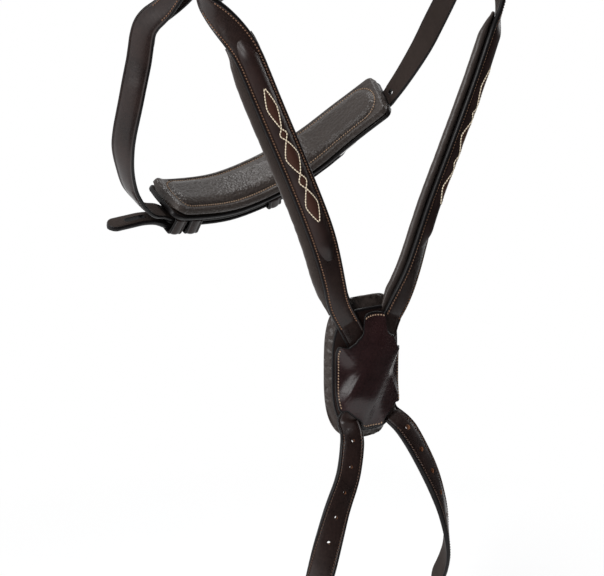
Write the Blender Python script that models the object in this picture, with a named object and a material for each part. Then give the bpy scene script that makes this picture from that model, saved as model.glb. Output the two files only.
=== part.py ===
# Figure eight bridle for a full size horse, as it hangs at the poll.
# Metres, +Z up. The horse faces -Y, so its left (near) side is +X and its right (off) side is -X.
# The origin is the middle of the flat underside of the headpiece's lining.
import bmesh
import bpy
import numpy as np

SIDES = {"left": 1.0, "right": -1.0}

# Leather and running clearances
SEAT = 0.0003
LEATHER = 0.0028
THIN_LEATHER = 0.0022
EDGE = 0.0006
PLAIN_WIDTH = 0.016
NARROW_WIDTH = 0.013
TIP_LENGTH = 0.014
TIP_STATION_SHARES = (1.0, 0.55, 0.22, 0.0)
TIP_END_SHARE = 0.3
TURNED_END = 0.034
HOLE_WIDTH = 0.0042
CUT_OVERRUN = 0.006

# Buckles, tongues and keepers
BUCKLE_WIRE = 0.0030
BUCKLE_LENGTH = 0.017
BUCKLE_CORNER = 0.0022
BUCKLE_SIDE_CLEARANCE = 0.0014
BILLET_RISE_SHARES = ((1.35, 0.0), (0.93, 0.0), (0.66, 0.30), (0.36, 0.80), (0.10, 1.0))
BILLET_SWAY_SHARES = ((0.0, 0.0), (0.14, 0.25), (0.5, 0.5), (0.86, 0.75), (1.0, 1.0))
BILLET_HOLE_SHARES = (0.36, 0.90)
TONGUE_WIRE = 0.0022
TONGUE_SLOT_CLEARANCE = 0.0011
TONGUE_SLOT_SHARES = (0.12, 0.86)
TONGUE_CURL = (-150.0, 90.0)
TONGUE_SHARES = (0.3, 0.7, 1.0)
KEEPER_WIDTH = 0.009
KEEPER_WALL = 0.0018
KEEPER_CLEARANCE = 0.0005
KEEPER_CORNER = 0.0010

# Headpiece and noseband crown over the poll
CROWN_HALF_SPAN = 0.0945
CROWN_DROP = 0.105
CROWN_TOP_SHARES = (
    (1.0, 1.0),
    (0.96, 0.75),
    (0.86, 0.47),
    (0.68, 0.22),
    (0.46, 0.05),
    (0.25, 0.0),
    (0.0, 0.0),
)
LINING_THICKNESS = 0.008
LINING_WIDTH = 0.046
LINING_END_SHARE = 0.8
LINING_SECTION_SHARES = (
    (-0.9, 0.0),
    (-1.0, 0.35),
    (-0.97, 0.75),
    (-0.84, 1.0),
    (0.84, 1.0),
    (0.97, 0.75),
    (1.0, 0.35),
    (0.9, 0.0),
)
HEADPIECE_WIDTH = 0.038
HEADPIECE_SLIT = 0.004
HEADPIECE_SLIT_TOP = 0.058
NOSEBAND_CROWN_WIDTH = 0.016

# Cheek rings
RING_HALF_SPAN = 0.111
RING_FORWARD = 0.010
RING_DROP = 0.330
RING_RADIUS = 0.021
RING_WIRE = 0.0044
RING_LOOP_WIDTH = 0.0135
RING_LOOP_REACH = 0.012
RING_TAPER_SHARES = (1.5, 2.6)
FRONT_RING_WAY = (-0.43, -0.90)
JAW_RING_WAY = (0.64, -0.77)

# Near side strap of the noseband
NEAR_BUCKLE_DROP = 0.236
NEAR_BILLET_TAIL = 0.042
NEAR_KEEPER_SHARE = 0.42

# Browband
BROWBAND_WIDTH = 0.016
BROWBAND_REACH = 0.135
BROWBAND_DROP = 0.012
BROWBAND_LOOP_DROP = 0.085
BROWBAND_LOOP_CLEARANCE = 0.0004
BROWBAND_TURN_SHARES = ((1.0, 0.0), (1.0, 0.15), (1.0, 0.5), (1.0, 1.6), (0.25, 1.0), (0.0, 1.0))
BROWBAND_FRONT_SHARES = (
    (0.0, 0.0, 0.0),
    (0.012, 0.20, 0.05),
    (0.10, 0.52, 0.35),
    (0.34, 0.82, 0.75),
    (0.68, 0.97, 0.95),
    (1.0, 1.0, 1.0),
)

# Cheekpieces
CHEEK_STANDOFF = 0.020
CHEEK_HALF_SPAN = RING_HALF_SPAN + CHEEK_STANDOFF
CHEEK_BUCKLE_DROP = 0.196
CHEEK_END_FALL = 0.017
CHEEK_END_DROP = RING_DROP + CHEEK_END_FALL
CHEEK_FORWARD = 0.0105
HINGE_GAP = 0.0010
CHEEK_BILLET_TAIL = 0.046
CHEEK_LOOP_RADIUS = 0.0052
CHEEK_TURNED_END = 0.058
CHEEK_KEEPER_SHARE = 0.30
CHEEK_LOOP_SHARES = (
    (1.0, 0.0),
    (0.42, 0.0),
    (0.26, 0.10),
    (0.14, 0.55),
    (0.06, 0.90),
    (0.0, 1.0),
)
STUD_RADIUS = 0.0042
STUD_HEIGHT = 0.0032
STUD_PLACE_SHARE = 0.72
STUD_SIDES = 12
STUD_PROFILE_SHARES = ((0.0, 0.5), (0.45, 0.5), (0.6, 1.0), (0.85, 0.9), (1.0, 0.55))

# Throatlatch
THROAT_SETBACK = 0.0125
THROAT_STANDOFF = 0.006
THROAT_HALF_SPAN = RING_HALF_SPAN + THROAT_STANDOFF
THROAT_DEPTH = 0.085
THROAT_BUCKLE_DROP = 0.178
THROAT_FALL = 0.147
THROAT_DROP = THROAT_BUCKLE_DROP + THROAT_FALL
THROAT_BILLET_TAIL = 0.040
THROAT_KEEPER_SHARE = 0.45
THROAT_SHARES = (
    (0.0, 0.0, 0.0),
    (0.0, 0.03, 0.30),
    (0.02, 0.28, 0.58),
    (0.14, 0.62, 0.84),
    (0.48, 0.90, 0.97),
    (1.0, 1.0, 1.0),
)
THROAT_FACES = (
    (1.0, 0.0, 0.0),
    (1.0, 0.0, 0.0),
    (0.90, 0.30, -0.30),
    (0.62, 0.42, -0.66),
    (0.30, 0.45, -0.85),
    (0.0, 0.45, -0.90),
)

# Nose disc: an oblong bent round the nose
DISC_FORWARD = 0.045
DISC_DROP = 0.6235
DISC_BEND_RADIUS = 0.050
DISC_HALF_WIDTH = 0.029
DISC_HALF_HEIGHT = 0.0455
DISC_CORNER_POWER = 3.2
DISC_BASE_THICKNESS = 0.0028
DISC_BASE_SKIN_SHARES = (0.34, 0.67, 1.0)
DISC_LINING_SKIN_SHARES = (0.28, 0.55, 0.76, 0.9, 1.0)
DISC_SEAT = 0.0006
DISC_LINING_THICKNESS = 0.0085
DISC_LINING_MARGIN = 0.0068
DISC_ROLL_SHARE = 0.28
DISC_ROLL_FACE_SHARE = 0.30
DISC_ROLL_BACK_SHARE = 0.35
DISC_SIDES = 40
DISC_COVER_MARGIN = 0.0025
DISC_COVER_WALL = 0.0018
CROSSING_DROP = 0.0005
CROSSING_SLOPE = 0.49
CROSSING_HALF_REACH = 0.0355
CROSSING_LIFT_START_SHARE = 0.88
CROSSING_LIFT_END_SHARE = 0.46
TUNNEL_CLEARANCE = 0.0007
TUNNEL_MARGIN = 0.0015
TUNNEL_SHOULDER = 0.0075
TUNNEL_SPREAD_SHARES = (1.0, 0.62)
TUNNEL_SPREAD_PLACES = (-1.1, -0.26)
COVER_SKIN_SHARES = (0.13, 0.26, 0.39, 0.52, 0.64, 0.76, 0.88, 1.0)
COVER_TURN_STEP = 9.0
COVER_RIM_SHARES = (
    (-90.0, 1.0),
    (-80.0, 1.0),
    (-76.5, 0.86),
    (-66.0, 0.82),
    (-55.0, 0.84),
    (-51.0, 0.98),
    (-30.0, 1.0),
    (0.0, 1.0),
    (30.0, 1.0),
    (40.0, 0.95),
    (45.0, 0.74),
    (58.0, 0.64),
    (72.0, 0.66),
    (80.0, 0.78),
    (83.0, 0.97),
    (90.0, 1.0),
)

# Front straps of the noseband, from ring to disc
FRONT_WIDTH = 0.0220
FRONT_BASE_THICKNESS = 0.0036
FRONT_TURNED_END = 0.013
FRONT_LINING_SEAT = 0.0006
FRONT_LINING_MARGIN = 0.0018
FRONT_LINING_THICKNESS = 0.0065
FRONT_LINING_STATIONS = (6, 2)
FRONT_LINING_END_SHARES = (0.6, 0.6)
SOFT_SIDE_POWER = 0.5
SOFT_FACE_POWER = 0.7
FRONT_TOP_WIDTH = 0.0142
FRONT_TOP_THICKNESS = 0.0034
FRONT_TOP_STATIONS = (6, 7)
FRONT_TOP_END_SHARE = 0.5
FRONT_TOP_SEAT = 0.0006
FRONT_TOP_SECTION_SHARES = (
    (-1.0, 0.0),
    (-1.0, 0.25),
    (-0.80, 0.72),
    (-0.4, 0.96),
    (0.4, 0.96),
    (0.80, 0.72),
    (1.0, 0.25),
    (1.0, 0.0),
)
CROSS_WIDTH_SHARE = 0.9
CROSS_THICKNESS_SHARE = 0.8
CROSS_NARROWED_SHARE = 0.45
CROSS_STATIONS = 13
FRONT_SHARES = {
    "left": (
        (0.0, 0.0, 0.0),
        (0.027, 0.31, 0.06),
        (0.080, 0.54, 0.117),
        (0.160, 0.74, 0.176),
        (0.315, 0.92, 0.322),
        (0.508, 1.04, 0.496),
        (0.686, 1.08, 0.670),
        (0.830, 1.11, 0.843),
        (0.915, 1.06, 0.93),
        (1.0, 1.0, 1.0),
    ),
    "right": (
        (0.0, 0.0, 0.0),
        (0.090, 0.31, 0.06),
        (0.163, 0.54, 0.117),
        (0.218, 0.74, 0.176),
        (0.352, 0.92, 0.322),
        (0.523, 1.04, 0.496),
        (0.691, 1.08, 0.670),
        (0.831, 1.11, 0.843),
        (0.904, 1.06, 0.93),
        (1.0, 1.0, 1.0),
    ),
}
FRONT_FACES = {
    "left": (
        (1.0, 0.0, 0.0),
        (0.95, -0.30, 0.0),
        (0.85, -0.50, 0.0),
        (0.76, -0.65, 0.0),
        (0.70, -0.71, 0.0),
        (0.70, -0.71, 0.0),
        (0.66, -0.75, 0.0),
        (0.52, -0.85, 0.0),
        (0.38, -0.92, 0.0),
        (0.34, -0.94, 0.0),
    ),
    "right": (
        (1.0, 0.0, 0.0),
        (0.88, -0.48, 0.0),
        (0.68, -0.73, 0.0),
        (0.52, -0.85, 0.0),
        (0.46, -0.89, 0.0),
        (0.46, -0.89, 0.0),
        (0.46, -0.89, 0.0),
        (0.46, -0.89, 0.0),
        (0.46, -0.89, 0.0),
        (0.34, -0.94, 0.0),
    ),
}

# Lower straps, from disc to chin
LOWER_END_SPAN = 0.058
LOWER_END_FORWARD = 0.052
LOWER_END_DROP = 0.815
LOWER_THICKNESS = 0.0042
LOWER_WIDTH = 0.0175
LOWER_SHARES = {
    "left": (
        (0.0, 0.0, 0.0, 0.0),
        (0.06, 0.08, 0.08, 0.064),
        (0.27, 0.25, 0.25, 0.111),
        (0.55, 0.42, 0.42, 0.122),
        (0.79, 0.60, 0.60, 0.129),
        (0.95, 0.80, 0.80, 0.100),
        (1.0, 1.0, 1.0, 0.0),
    ),
    "right": (
        (0.0, 0.0, 0.0, 0.0),
        (0.21, 0.08, 0.08, 0.064),
        (0.48, 0.25, 0.25, 0.111),
        (0.72, 0.42, 0.42, 0.122),
        (0.88, 0.60, 0.60, 0.129),
        (0.98, 0.80, 0.80, 0.100),
        (1.0, 1.0, 1.0, 0.0),
    ),
}
LOWER_FACES = {
    "left": (
        (0.34, -0.94, 0.0),
        (0.16, -0.98, 0.0),
        (0.02, -1.0, 0.0),
        (0.10, -0.99, 0.0),
        (0.38, -0.92, 0.0),
        (0.76, -0.64, 0.0),
        (0.96, -0.28, 0.0),
    ),
    "right": (
        (0.34, -0.94, 0.0),
        (0.34, -0.94, 0.0),
        (0.46, -0.89, 0.0),
        (0.62, -0.78, 0.0),
        (0.78, -0.62, 0.0),
        (0.92, -0.40, 0.0),
        (0.96, -0.28, 0.0),
    ),
}
LOWER_HOLES = 5
LOWER_FIRST_HOLE_SHARE = 0.105
LOWER_LAST_HOLE_SHARE = 0.598
LOWER_BILLET_TAIL = 0.040
LOWER_KEEPER_SHARE = 0.4
LOWER_TAPER_SHARES = (3.0, 6.0)

# Chin strap
CHIN_DEPTH = 0.048
CHIN_FALL = 0.088
CHIN_DROP = LOWER_END_DROP + CHIN_FALL
CHIN_SHARES = (
    (0.0, 0.0, 0.0),
    (0.0, 0.0, 0.25),
    (0.01, 0.05, 0.49),
    (0.14, 0.32, 0.78),
    (0.50, 0.72, 0.96),
    (1.0, 1.0, 1.0),
)
CHIN_FACES = (
    (0.96, -0.28, 0.0),
    (0.96, -0.28, 0.0),
    (0.95, -0.24, -0.12),
    (0.82, 0.02, -0.55),
    (0.36, 0.30, -0.86),
    (0.0, 0.38, -0.92),
)

# Jaw straps, from the rings to the jaw pad
PAD_RIGHT_SPAN = 0.092
PAD_RIGHT_DEPTH = 0.0965
PAD_RIGHT_DROP = 0.523
PAD_LEFT_SPAN = 0.0895
PAD_LEFT_DEPTH = 0.080
PAD_LEFT_DROP = 0.461
PAD_SHARES = (
    (0.0, 0.0, 0.0, 0.0),
    (0.084, 0.084, -0.08, -0.034),
    (0.318, 0.318, -0.113, -0.093),
    (0.553, 0.553, 0.032, -0.135),
    (0.743, 0.743, 0.29, -0.136),
    (0.877, 0.877, 0.629, -0.084),
    (1.0, 1.0, 1.0, 0.0),
)
PAD_FACES = (
    (-0.42, 0.36, -0.82),
    (-0.25, 0.42, -0.87),
    (-0.05, 0.48, -0.87),
    (0.15, 0.48, -0.86),
    (0.38, 0.42, -0.82),
    (0.55, 0.35, -0.75),
    (0.65, 0.30, -0.70),
)
PAD_WIDTH = 0.0385
PAD_RAISE = 0.0014
PAD_STRAP_SEAT = 0.0009
PAD_BACK_THICKNESS = 0.0035
PAD_LINING_THICKNESS = 0.0100
PAD_END_SHARES = (0.62, 0.93, 1.0)
PAD_SECTION_SHARES = (
    (-1.0, 0.0),
    (-1.0, 0.45),
    (-0.93, 0.86),
    (-0.82, 0.92),
    (-0.70, 0.72),
    (-0.58, 0.86),
    (-0.30, 0.98),
    (0.0, 1.0),
)
JAW_RIGHT_SHARES = (
    (0.0, 0.0, 0.0),
    (-0.345, 0.126, 0.082),
    (-0.714, 0.276, 0.163),
    (-0.788, 0.368, 0.304),
    (-0.936, 0.448, 0.467),
    (-0.951, 0.609, 0.666),
    (-0.517, 0.770, 0.832),
    (-0.049, 0.862, 0.919),
    (0.468, 0.937, 0.978),
    (1.0, 1.0, 1.0),
)
JAW_RIGHT_FACES = (
    (-1.0, 0.0, 0.0),
    (-0.92, -0.35, 0.0),
    (-0.80, -0.58, 0.0),
    (-0.76, -0.64, 0.0),
    (-0.78, -0.62, 0.0),
    (-0.84, -0.50, -0.15),
    (-0.90, -0.25, -0.32),
    (-0.84, 0.0, -0.52),
    (-0.65, 0.22, -0.70),
    (-0.42, 0.36, -0.82),
)
JAW_LEFT_SHARES = (
    (0.0, 0.0, 0.0),
    (0.14, 0.20, 0.12),
    (0.32, 0.44, 0.38),
    (0.50, 0.62, 0.60),
    (0.74, 0.84, 0.83),
    (1.0, 1.0, 1.0),
)
JAW_LEFT_FACES = (
    (1.0, 0.0, 0.0),
    (0.88, 0.40, -0.12),
    (0.66, 0.68, -0.30),
    (0.62, 0.62, -0.46),
    (0.64, 0.45, -0.60),
    (0.65, 0.30, -0.70),
)
JAW_WIDTH = 0.0165
JAW_BUCKLE_SHARE = 0.74
JAW_OFFSET = 0.0062
JAW_OFFSET_SHARES = (
    (0.0, 0.5),
    (0.12, 0.66),
    (0.3, 0.9),
    (0.5, 1.0),
    (0.6, 0.5),
    (0.72, -0.1),
    (1.0, -0.3),
)
JAW_HOLE_SHARES = (0.955,)
JAW_LAYER_GAP = 0.0006
JAW_TIP_SHARE = 0.02
JAW_TURNED_SHARE = 0.10
JAW_RISE_SHARES = (0.22, 0.11, 0.03)
JAW_RISE_HEIGHT_SHARE = 0.7
JAW_BUCKLE_CLEAR_SHARE = 0.17
JAW_KEEPER_SHARES = (0.068, 0.132, 0.455)
JAW_KEEPER_WIDTH = 0.0115
SLIP_LOOP_THICKNESS = 0.0040
SLIP_LOOP_WIDTH = 0.0125
SLIP_LOOP_TAIL_SHARE = 0.16
SLIP_LOOP_REACH = 0.036
SLIP_LOOP_FALL = 0.016
SLIP_LOOP_OUT_SHARES = ((0.28, 0.16), (0.61, 0.53), (1.0, 1.0))
SLIP_LOOP_END_FACE = (-0.15, 0.38, -0.91)
SLIP_SLOT_WIDTH = 0.0042
SLIP_SLOT_LENGTH = 0.018
SLIP_SLOT_SHARE = 0.68

# Stations along the sweeps
SPAN_STEPS = 3
BEND_STEPS = 5
TUBE_SIDES = 6
CORNER_STEPS = 3
RING_STEPS = 24
SOFT_SECTION_STEPS = 12
SLOT_SIDES = 8
TONGUE_STEPS = 7
PAD_SPAN_STEPS = 4
CHEEK_LOOP_STEPS = 7
PLAIN_STEPS = 4
SHARP_ANGLE = 40.0

# Colours: red, green, blue, roughness, metallic
HAVANA = (0.065, 0.034, 0.026, 0.45, 0.0)
DARK_HAVANA = (0.040, 0.026, 0.023, 0.5, 0.0)
LINING_BROWN = (0.095, 0.072, 0.062, 0.6, 0.0)
STEEL = (0.62, 0.62, 0.61, 0.25, 1.0)


def clear_scene():
    for thing in list(bpy.data.objects):
        bpy.data.objects.remove(thing, do_unlink=True)


def material(name, finish):
    made = bpy.data.materials.new(name)
    made.use_nodes = True
    shader = made.node_tree.nodes["Principled BSDF"]
    shader.inputs["Base Color"].default_value = (*finish[:3], 1.0)
    shader.inputs["Roughness"].default_value = finish[3]
    shader.inputs["Metallic"].default_value = finish[4]
    made.diffuse_color = (*finish[:3], 1.0)
    return made


def unit(vectors):
    return vectors / np.linalg.norm(vectors, axis=-1, keepdims=True)


def mirrored(side, rows):
    """The same points or directions for one side of the horse: X changes sign on the right."""
    return np.asarray(rows, float) * (side, 1.0, 1.0)


def solid(name, corners, polygons, finish):
    """One closed mesh object whose faces point outwards."""
    mesh = bpy.data.meshes.new(name)
    mesh.from_pydata([tuple(corner) for corner in corners], [], polygons)
    shape = bmesh.new()
    shape.from_mesh(mesh)
    bmesh.ops.recalc_face_normals(shape, faces=shape.faces)
    shape.to_mesh(mesh)
    shape.free()
    mesh.shade_smooth()
    mesh.set_sharp_from_angle(angle=np.radians(SHARP_ANGLE))
    mesh.materials.append(material(name, finish))
    thing = bpy.data.objects.new(name, mesh)
    bpy.context.scene.collection.objects.link(thing)
    return thing


# Paths: a pair of arrays, the places of the stations and the way the leather's face looks there


def smooth(rows, steps=SPAN_STEPS):
    """Catmull-Rom curve through the rows, with the given steps to each span."""
    rows = np.asarray(rows, float)
    ends = np.vstack([2 * rows[0] - rows[1], rows, 2 * rows[-1] - rows[-2]])
    along = np.linspace(0.0, 1.0, steps, endpoint=False)[:, None]
    spans = []
    for before, start, end, after in zip(ends, ends[1:], ends[2:], ends[3:]):
        cubic = 3 * (start - end) + after - before
        square = 2 * before - 5 * start + 4 * end - after
        spans.append(start + 0.5 * along * (end - before + along * (square + along * cubic)))
    return np.vstack([*spans, rows[-1:]])


def stops(start, end, shares):
    """Places between start and end. Each row says how far each axis has come, and last, where
    there is a fourth number, how far the place bows forward as a share of the whole distance."""
    start, end, shares = np.asarray(start, float), np.asarray(end, float), np.asarray(shares)
    places = start + (end - start) * shares[:, :3]
    if shares.shape[1] > 3:
        places[:, 1] -= shares[:, 3] * np.linalg.norm(end - start)
    return places


def route(start, end, shares, faces, steps=SPAN_STEPS):
    """Smooth path from start to end through the stops that the shares give."""
    return smooth(stops(start, end, shares), steps), unit(smooth(faces, steps))


def route_across(start, middle, shares, faces):
    """Smooth path from a start on the left through the middle to the same start on the right."""
    half = stops(start, middle, shares)
    places = np.vstack([half, mirrored(-1.0, half[-2::-1])])
    looks = np.vstack([faces, mirrored(-1.0, np.asarray(faces)[-2::-1])])
    return smooth(places), unit(smooth(looks))


def mirror_path(path):
    return mirrored(-1.0, path[0]), mirrored(-1.0, path[1])


def bend(bar, along, face, radius, steps=BEND_STEPS):
    """Half a turn round a bar: in on the face side, out on the other."""
    angles = np.linspace(0.0, np.pi, steps + 1)[:, None]
    out = np.asarray(face) * np.cos(angles) + np.asarray(along) * np.sin(angles)
    return np.asarray(bar) + radius * out, out


def straight(start, end, face, steps=1):
    shares = np.linspace(0.0, 1.0, steps + 1)[:, None]
    places = np.asarray(start) * (1 - shares) + np.asarray(end) * shares
    return places, np.repeat(np.asarray(face, float)[None], steps + 1, axis=0)


def joined(*paths):
    """Paths end to end, with a station that repeats the one before it left out."""
    places = np.vstack([path[0] for path in paths])
    faces = np.vstack([path[1] for path in paths])
    keep = np.ones(len(places), bool)
    keep[1:] = np.linalg.norm(np.diff(places, axis=0), axis=1) > EDGE / 2
    return places[keep], faces[keep]


def reverse(path):
    return path[0][::-1], path[1][::-1]


def piece_of(path, first, last):
    """Part of a path that keeps the whole path's directions at its ends."""
    return path[0][first:last], path[1][first:last], axes_of(path)[0][first:last]


def axes_of(path):
    """Along, across and face directions at each station, square to each other."""
    places, faces = path[:2]
    legs = unit(np.diff(places, axis=0))
    along = path[2] if len(path) > 2 else unit(np.vstack([legs[:1], legs[:-1] + legs[1:], legs[-1:]]))
    across = unit(np.cross(along, faces))
    return along, across, np.cross(across, along)


def lifted(path, height):
    """The same path moved along its faces, as the layer above it runs."""
    height = np.broadcast_to(height, len(path[0]))[:, None]
    return path[0] + axes_of(path)[2] * height, path[1]


def run_of(path):
    legs = np.linalg.norm(np.diff(path[0], axis=0), axis=1)
    return np.concatenate([[0.0], np.cumsum(legs)])


def frame_at(path, share):
    """Place, along, across and face at a share of the path's length."""
    run = run_of(path)
    at = share * run[-1]
    rows = (path[0], *axes_of(path))
    found = [np.array([np.interp(at, run, row[:, k]) for k in range(3)]) for row in rows]
    return found[0], unit(found[1]), unit(found[2]), unit(found[3])


def with_tip(path, tip=TIP_LENGTH):
    """Adds the stations of a rounded end, and gives the share of full width at each station."""
    run = run_of(path)
    ends = run[-1] - tip * np.array(TIP_STATION_SHARES)
    stops = np.concatenate([run[run < ends[0] - tip / 4], ends])
    columns = [np.interp(stops, run, row) for rows in path for row in rows.T]
    left = np.clip((run[-1] - stops) / tip, 0.0, 1.0)
    widths = np.maximum(TIP_END_SHARE, np.sqrt(1 - (1 - left) ** 2))
    return (np.array(columns[:3]).T, unit(np.array(columns[3:]).T)), widths


def with_round_ends(path, first_tip, last_tip):
    """Rounds both ends of a strap: the path with their stations, and the share of full width there."""
    path = with_tip(reverse(path), first_tip)[0]
    path, widths = with_tip(reverse(path), last_tip)
    come = np.clip(run_of(path) / first_tip, 0.0, 1.0)
    return path, np.minimum(widths, np.maximum(TIP_END_SHARE, np.sqrt(1 - (1 - come) ** 2)))


# Sections: for each station, points as (across, face) pairs


def flat_section(width, low, high, edge=EDGE):
    """A strap's section: flat, with the two edges of its face eased."""
    half = np.asarray(width, float) / 2
    low, high, half = np.broadcast_arrays(low, high, half)
    corners = (
        (-half, low),
        (-half, high - edge),
        (edge - half, high),
        (half - edge, high),
        (half, high - edge),
        (half, low),
    )
    return np.stack([np.stack(corner, axis=-1) for corner in corners], axis=-2)


def rolled_section(width, low, high, steps=SOFT_SECTION_STEPS):
    """A soft lining's section: a rounded oblong, full at its sides."""
    half, low, high = np.broadcast_arrays(np.asarray(width, float) / 2, low, high)
    turn = np.linspace(0.0, 2 * np.pi, steps, endpoint=False) + np.pi / steps
    across = np.sign(np.cos(turn)) * np.abs(np.cos(turn)) ** SOFT_SIDE_POWER
    deep = np.sign(np.sin(turn)) * np.abs(np.sin(turn)) ** SOFT_FACE_POWER
    middle, depth = (low + high) / 2, (high - low) / 2
    return np.stack([half[..., None] * across, middle[..., None] + depth[..., None] * deep], axis=-1)


def raised_section(width, low, high):
    """A raised strap's section: steep rounded sides and a crown."""
    half, low, high = np.broadcast_arrays(np.asarray(width, float) / 2, low, high)
    rise = high - low
    points = [np.stack([half * a, low + rise * b], axis=-1) for a, b in FRONT_TOP_SECTION_SHARES]
    return np.stack(points, axis=-2)


def loft(name, path, section, finish):
    """Carries a section along a path and caps both ends."""
    places = path[0]
    _, across, face = axes_of(path)
    section = np.broadcast_to(section, (len(places), *section.shape[-2:]))
    corners = (
        places[:, None]
        + across[:, None] * section[..., :1]
        + face[:, None] * section[..., 1:]
    )
    count = section.shape[1]
    polygons = [tuple(range(count)), tuple(range((len(places) - 1) * count, len(places) * count))]
    for ring in range(len(places) - 1):
        for k in range(count):
            here, there = ring * count + k, ring * count + (k + 1) % count
            polygons.append((here, there, there + count, here + count))
    return solid(name, corners.reshape(-1, 3), polygons, finish)


def strap(name, path, width, low, high, finish=HAVANA):
    return loft(name, path, flat_section(width, low, high), finish)


def hoop(name, places, outward, axis, section, finish):
    """A closed ring: a section of (outward, axis) pairs carried round a flat loop."""
    section = np.asarray(section)
    corners = (
        places[:, None]
        + outward[:, None] * section[None, :, :1]
        + np.asarray(axis) * section[None, :, 1:]
    )
    rings, count = len(places), len(section)
    polygons = []
    for ring in range(rings):
        for k in range(count):
            after = (ring + 1) % rings * count
            here, there = ring * count + k, ring * count + (k + 1) % count
            polygons.append((here, there, after + (k + 1) % count, after + k))
    return solid(name, corners.reshape(-1, 3), polygons, finish)


def round_section(radius, sides=TUBE_SIDES):
    turn = np.linspace(0.0, 2 * np.pi, sides, endpoint=False)
    return radius * np.stack([np.cos(turn), np.sin(turn)], axis=-1)


def oblong(half_across, low, high, corner, steps=CORNER_STEPS):
    """Points and outward directions of an oblong with round corners, in two flat axes."""
    turn = np.concatenate([np.linspace(q, q + 90.0, steps + 1) for q in (0.0, 90.0, 180.0, 270.0)])
    outward = np.stack([np.cos(np.radians(turn)), np.sin(np.radians(turn))], axis=-1)
    signs = np.repeat([(1, 1), (-1, 1), (-1, -1), (1, -1)], steps + 1, axis=0)
    middle, half = np.array([0.0, (low + high) / 2]), np.array([half_across, (high - low) / 2])
    return middle + signs * (half - corner) + corner * outward, outward


def carried(points, first, second):
    return points[:, :1] * first + points[:, 1:] * second


def keeper(name, centre, along, across, face, width, low, high, broad=KEEPER_WIDTH):
    """A leather keeper round a stack of straps that lies between low and high."""
    slack = KEEPER_CLEARANCE
    points, outward = oblong(width / 2 + slack, low - slack, high + slack, KEEPER_CORNER)
    half = broad / 2
    section = [(0, -half), (KEEPER_WALL, -half), (KEEPER_WALL, half), (0, half)]
    places = centre + carried(points, across, face)
    return hoop(name, places, carried(outward, across, face), along, section, HAVANA)


def cutter(name, corners, polygons):
    made = solid(name, corners, polygons, STEEL)
    made.hide_render = True
    made.display_type = "WIRE"
    return made


def cut(target, tool):
    step = target.modifiers.new(tool.name, "BOOLEAN")
    step.operation = "DIFFERENCE"
    step.solver = "EXACT"
    step.object = tool


def bar_cutter(name, ends, radius, sides=TUBE_SIDES, stretch=None):
    """Straight bars through a strap, one for each (from, to, across) row, for holes and slots."""
    corners, polygons = [], []
    turn = np.linspace(0.0, 2 * np.pi, sides, endpoint=False)
    for start, end, across in ends:
        axis = unit(end - start)
        other = np.cross(axis, across)
        ring = np.cos(turn)[:, None] * across * radius
        ring = ring + np.sin(turn)[:, None] * other * (stretch or radius)
        first = len(corners)
        corners.extend(start + ring)
        corners.extend(end + ring)
        polygons.append(tuple(range(first, first + sides)))
        polygons.append(tuple(range(first + sides, first + 2 * sides)))
        for k in range(sides):
            here, there = first + k, first + (k + 1) % sides
            polygons.append((here, there, there + sides, here + sides))
    return cutter(name, corners, polygons)


def punch_holes(target, path, shares, low, high):
    """Punches round holes through a strap at the given shares of its path."""
    bars = []
    for share in shares:
        centre, _, across, face = frame_at(path, share)
        bars.append((centre + face * (low - CUT_OVERRUN), centre + face * (high + CUT_OVERRUN), across))
    cut(target, bar_cutter(target.name + "_holes", bars, HOLE_WIDTH / 2))


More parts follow.
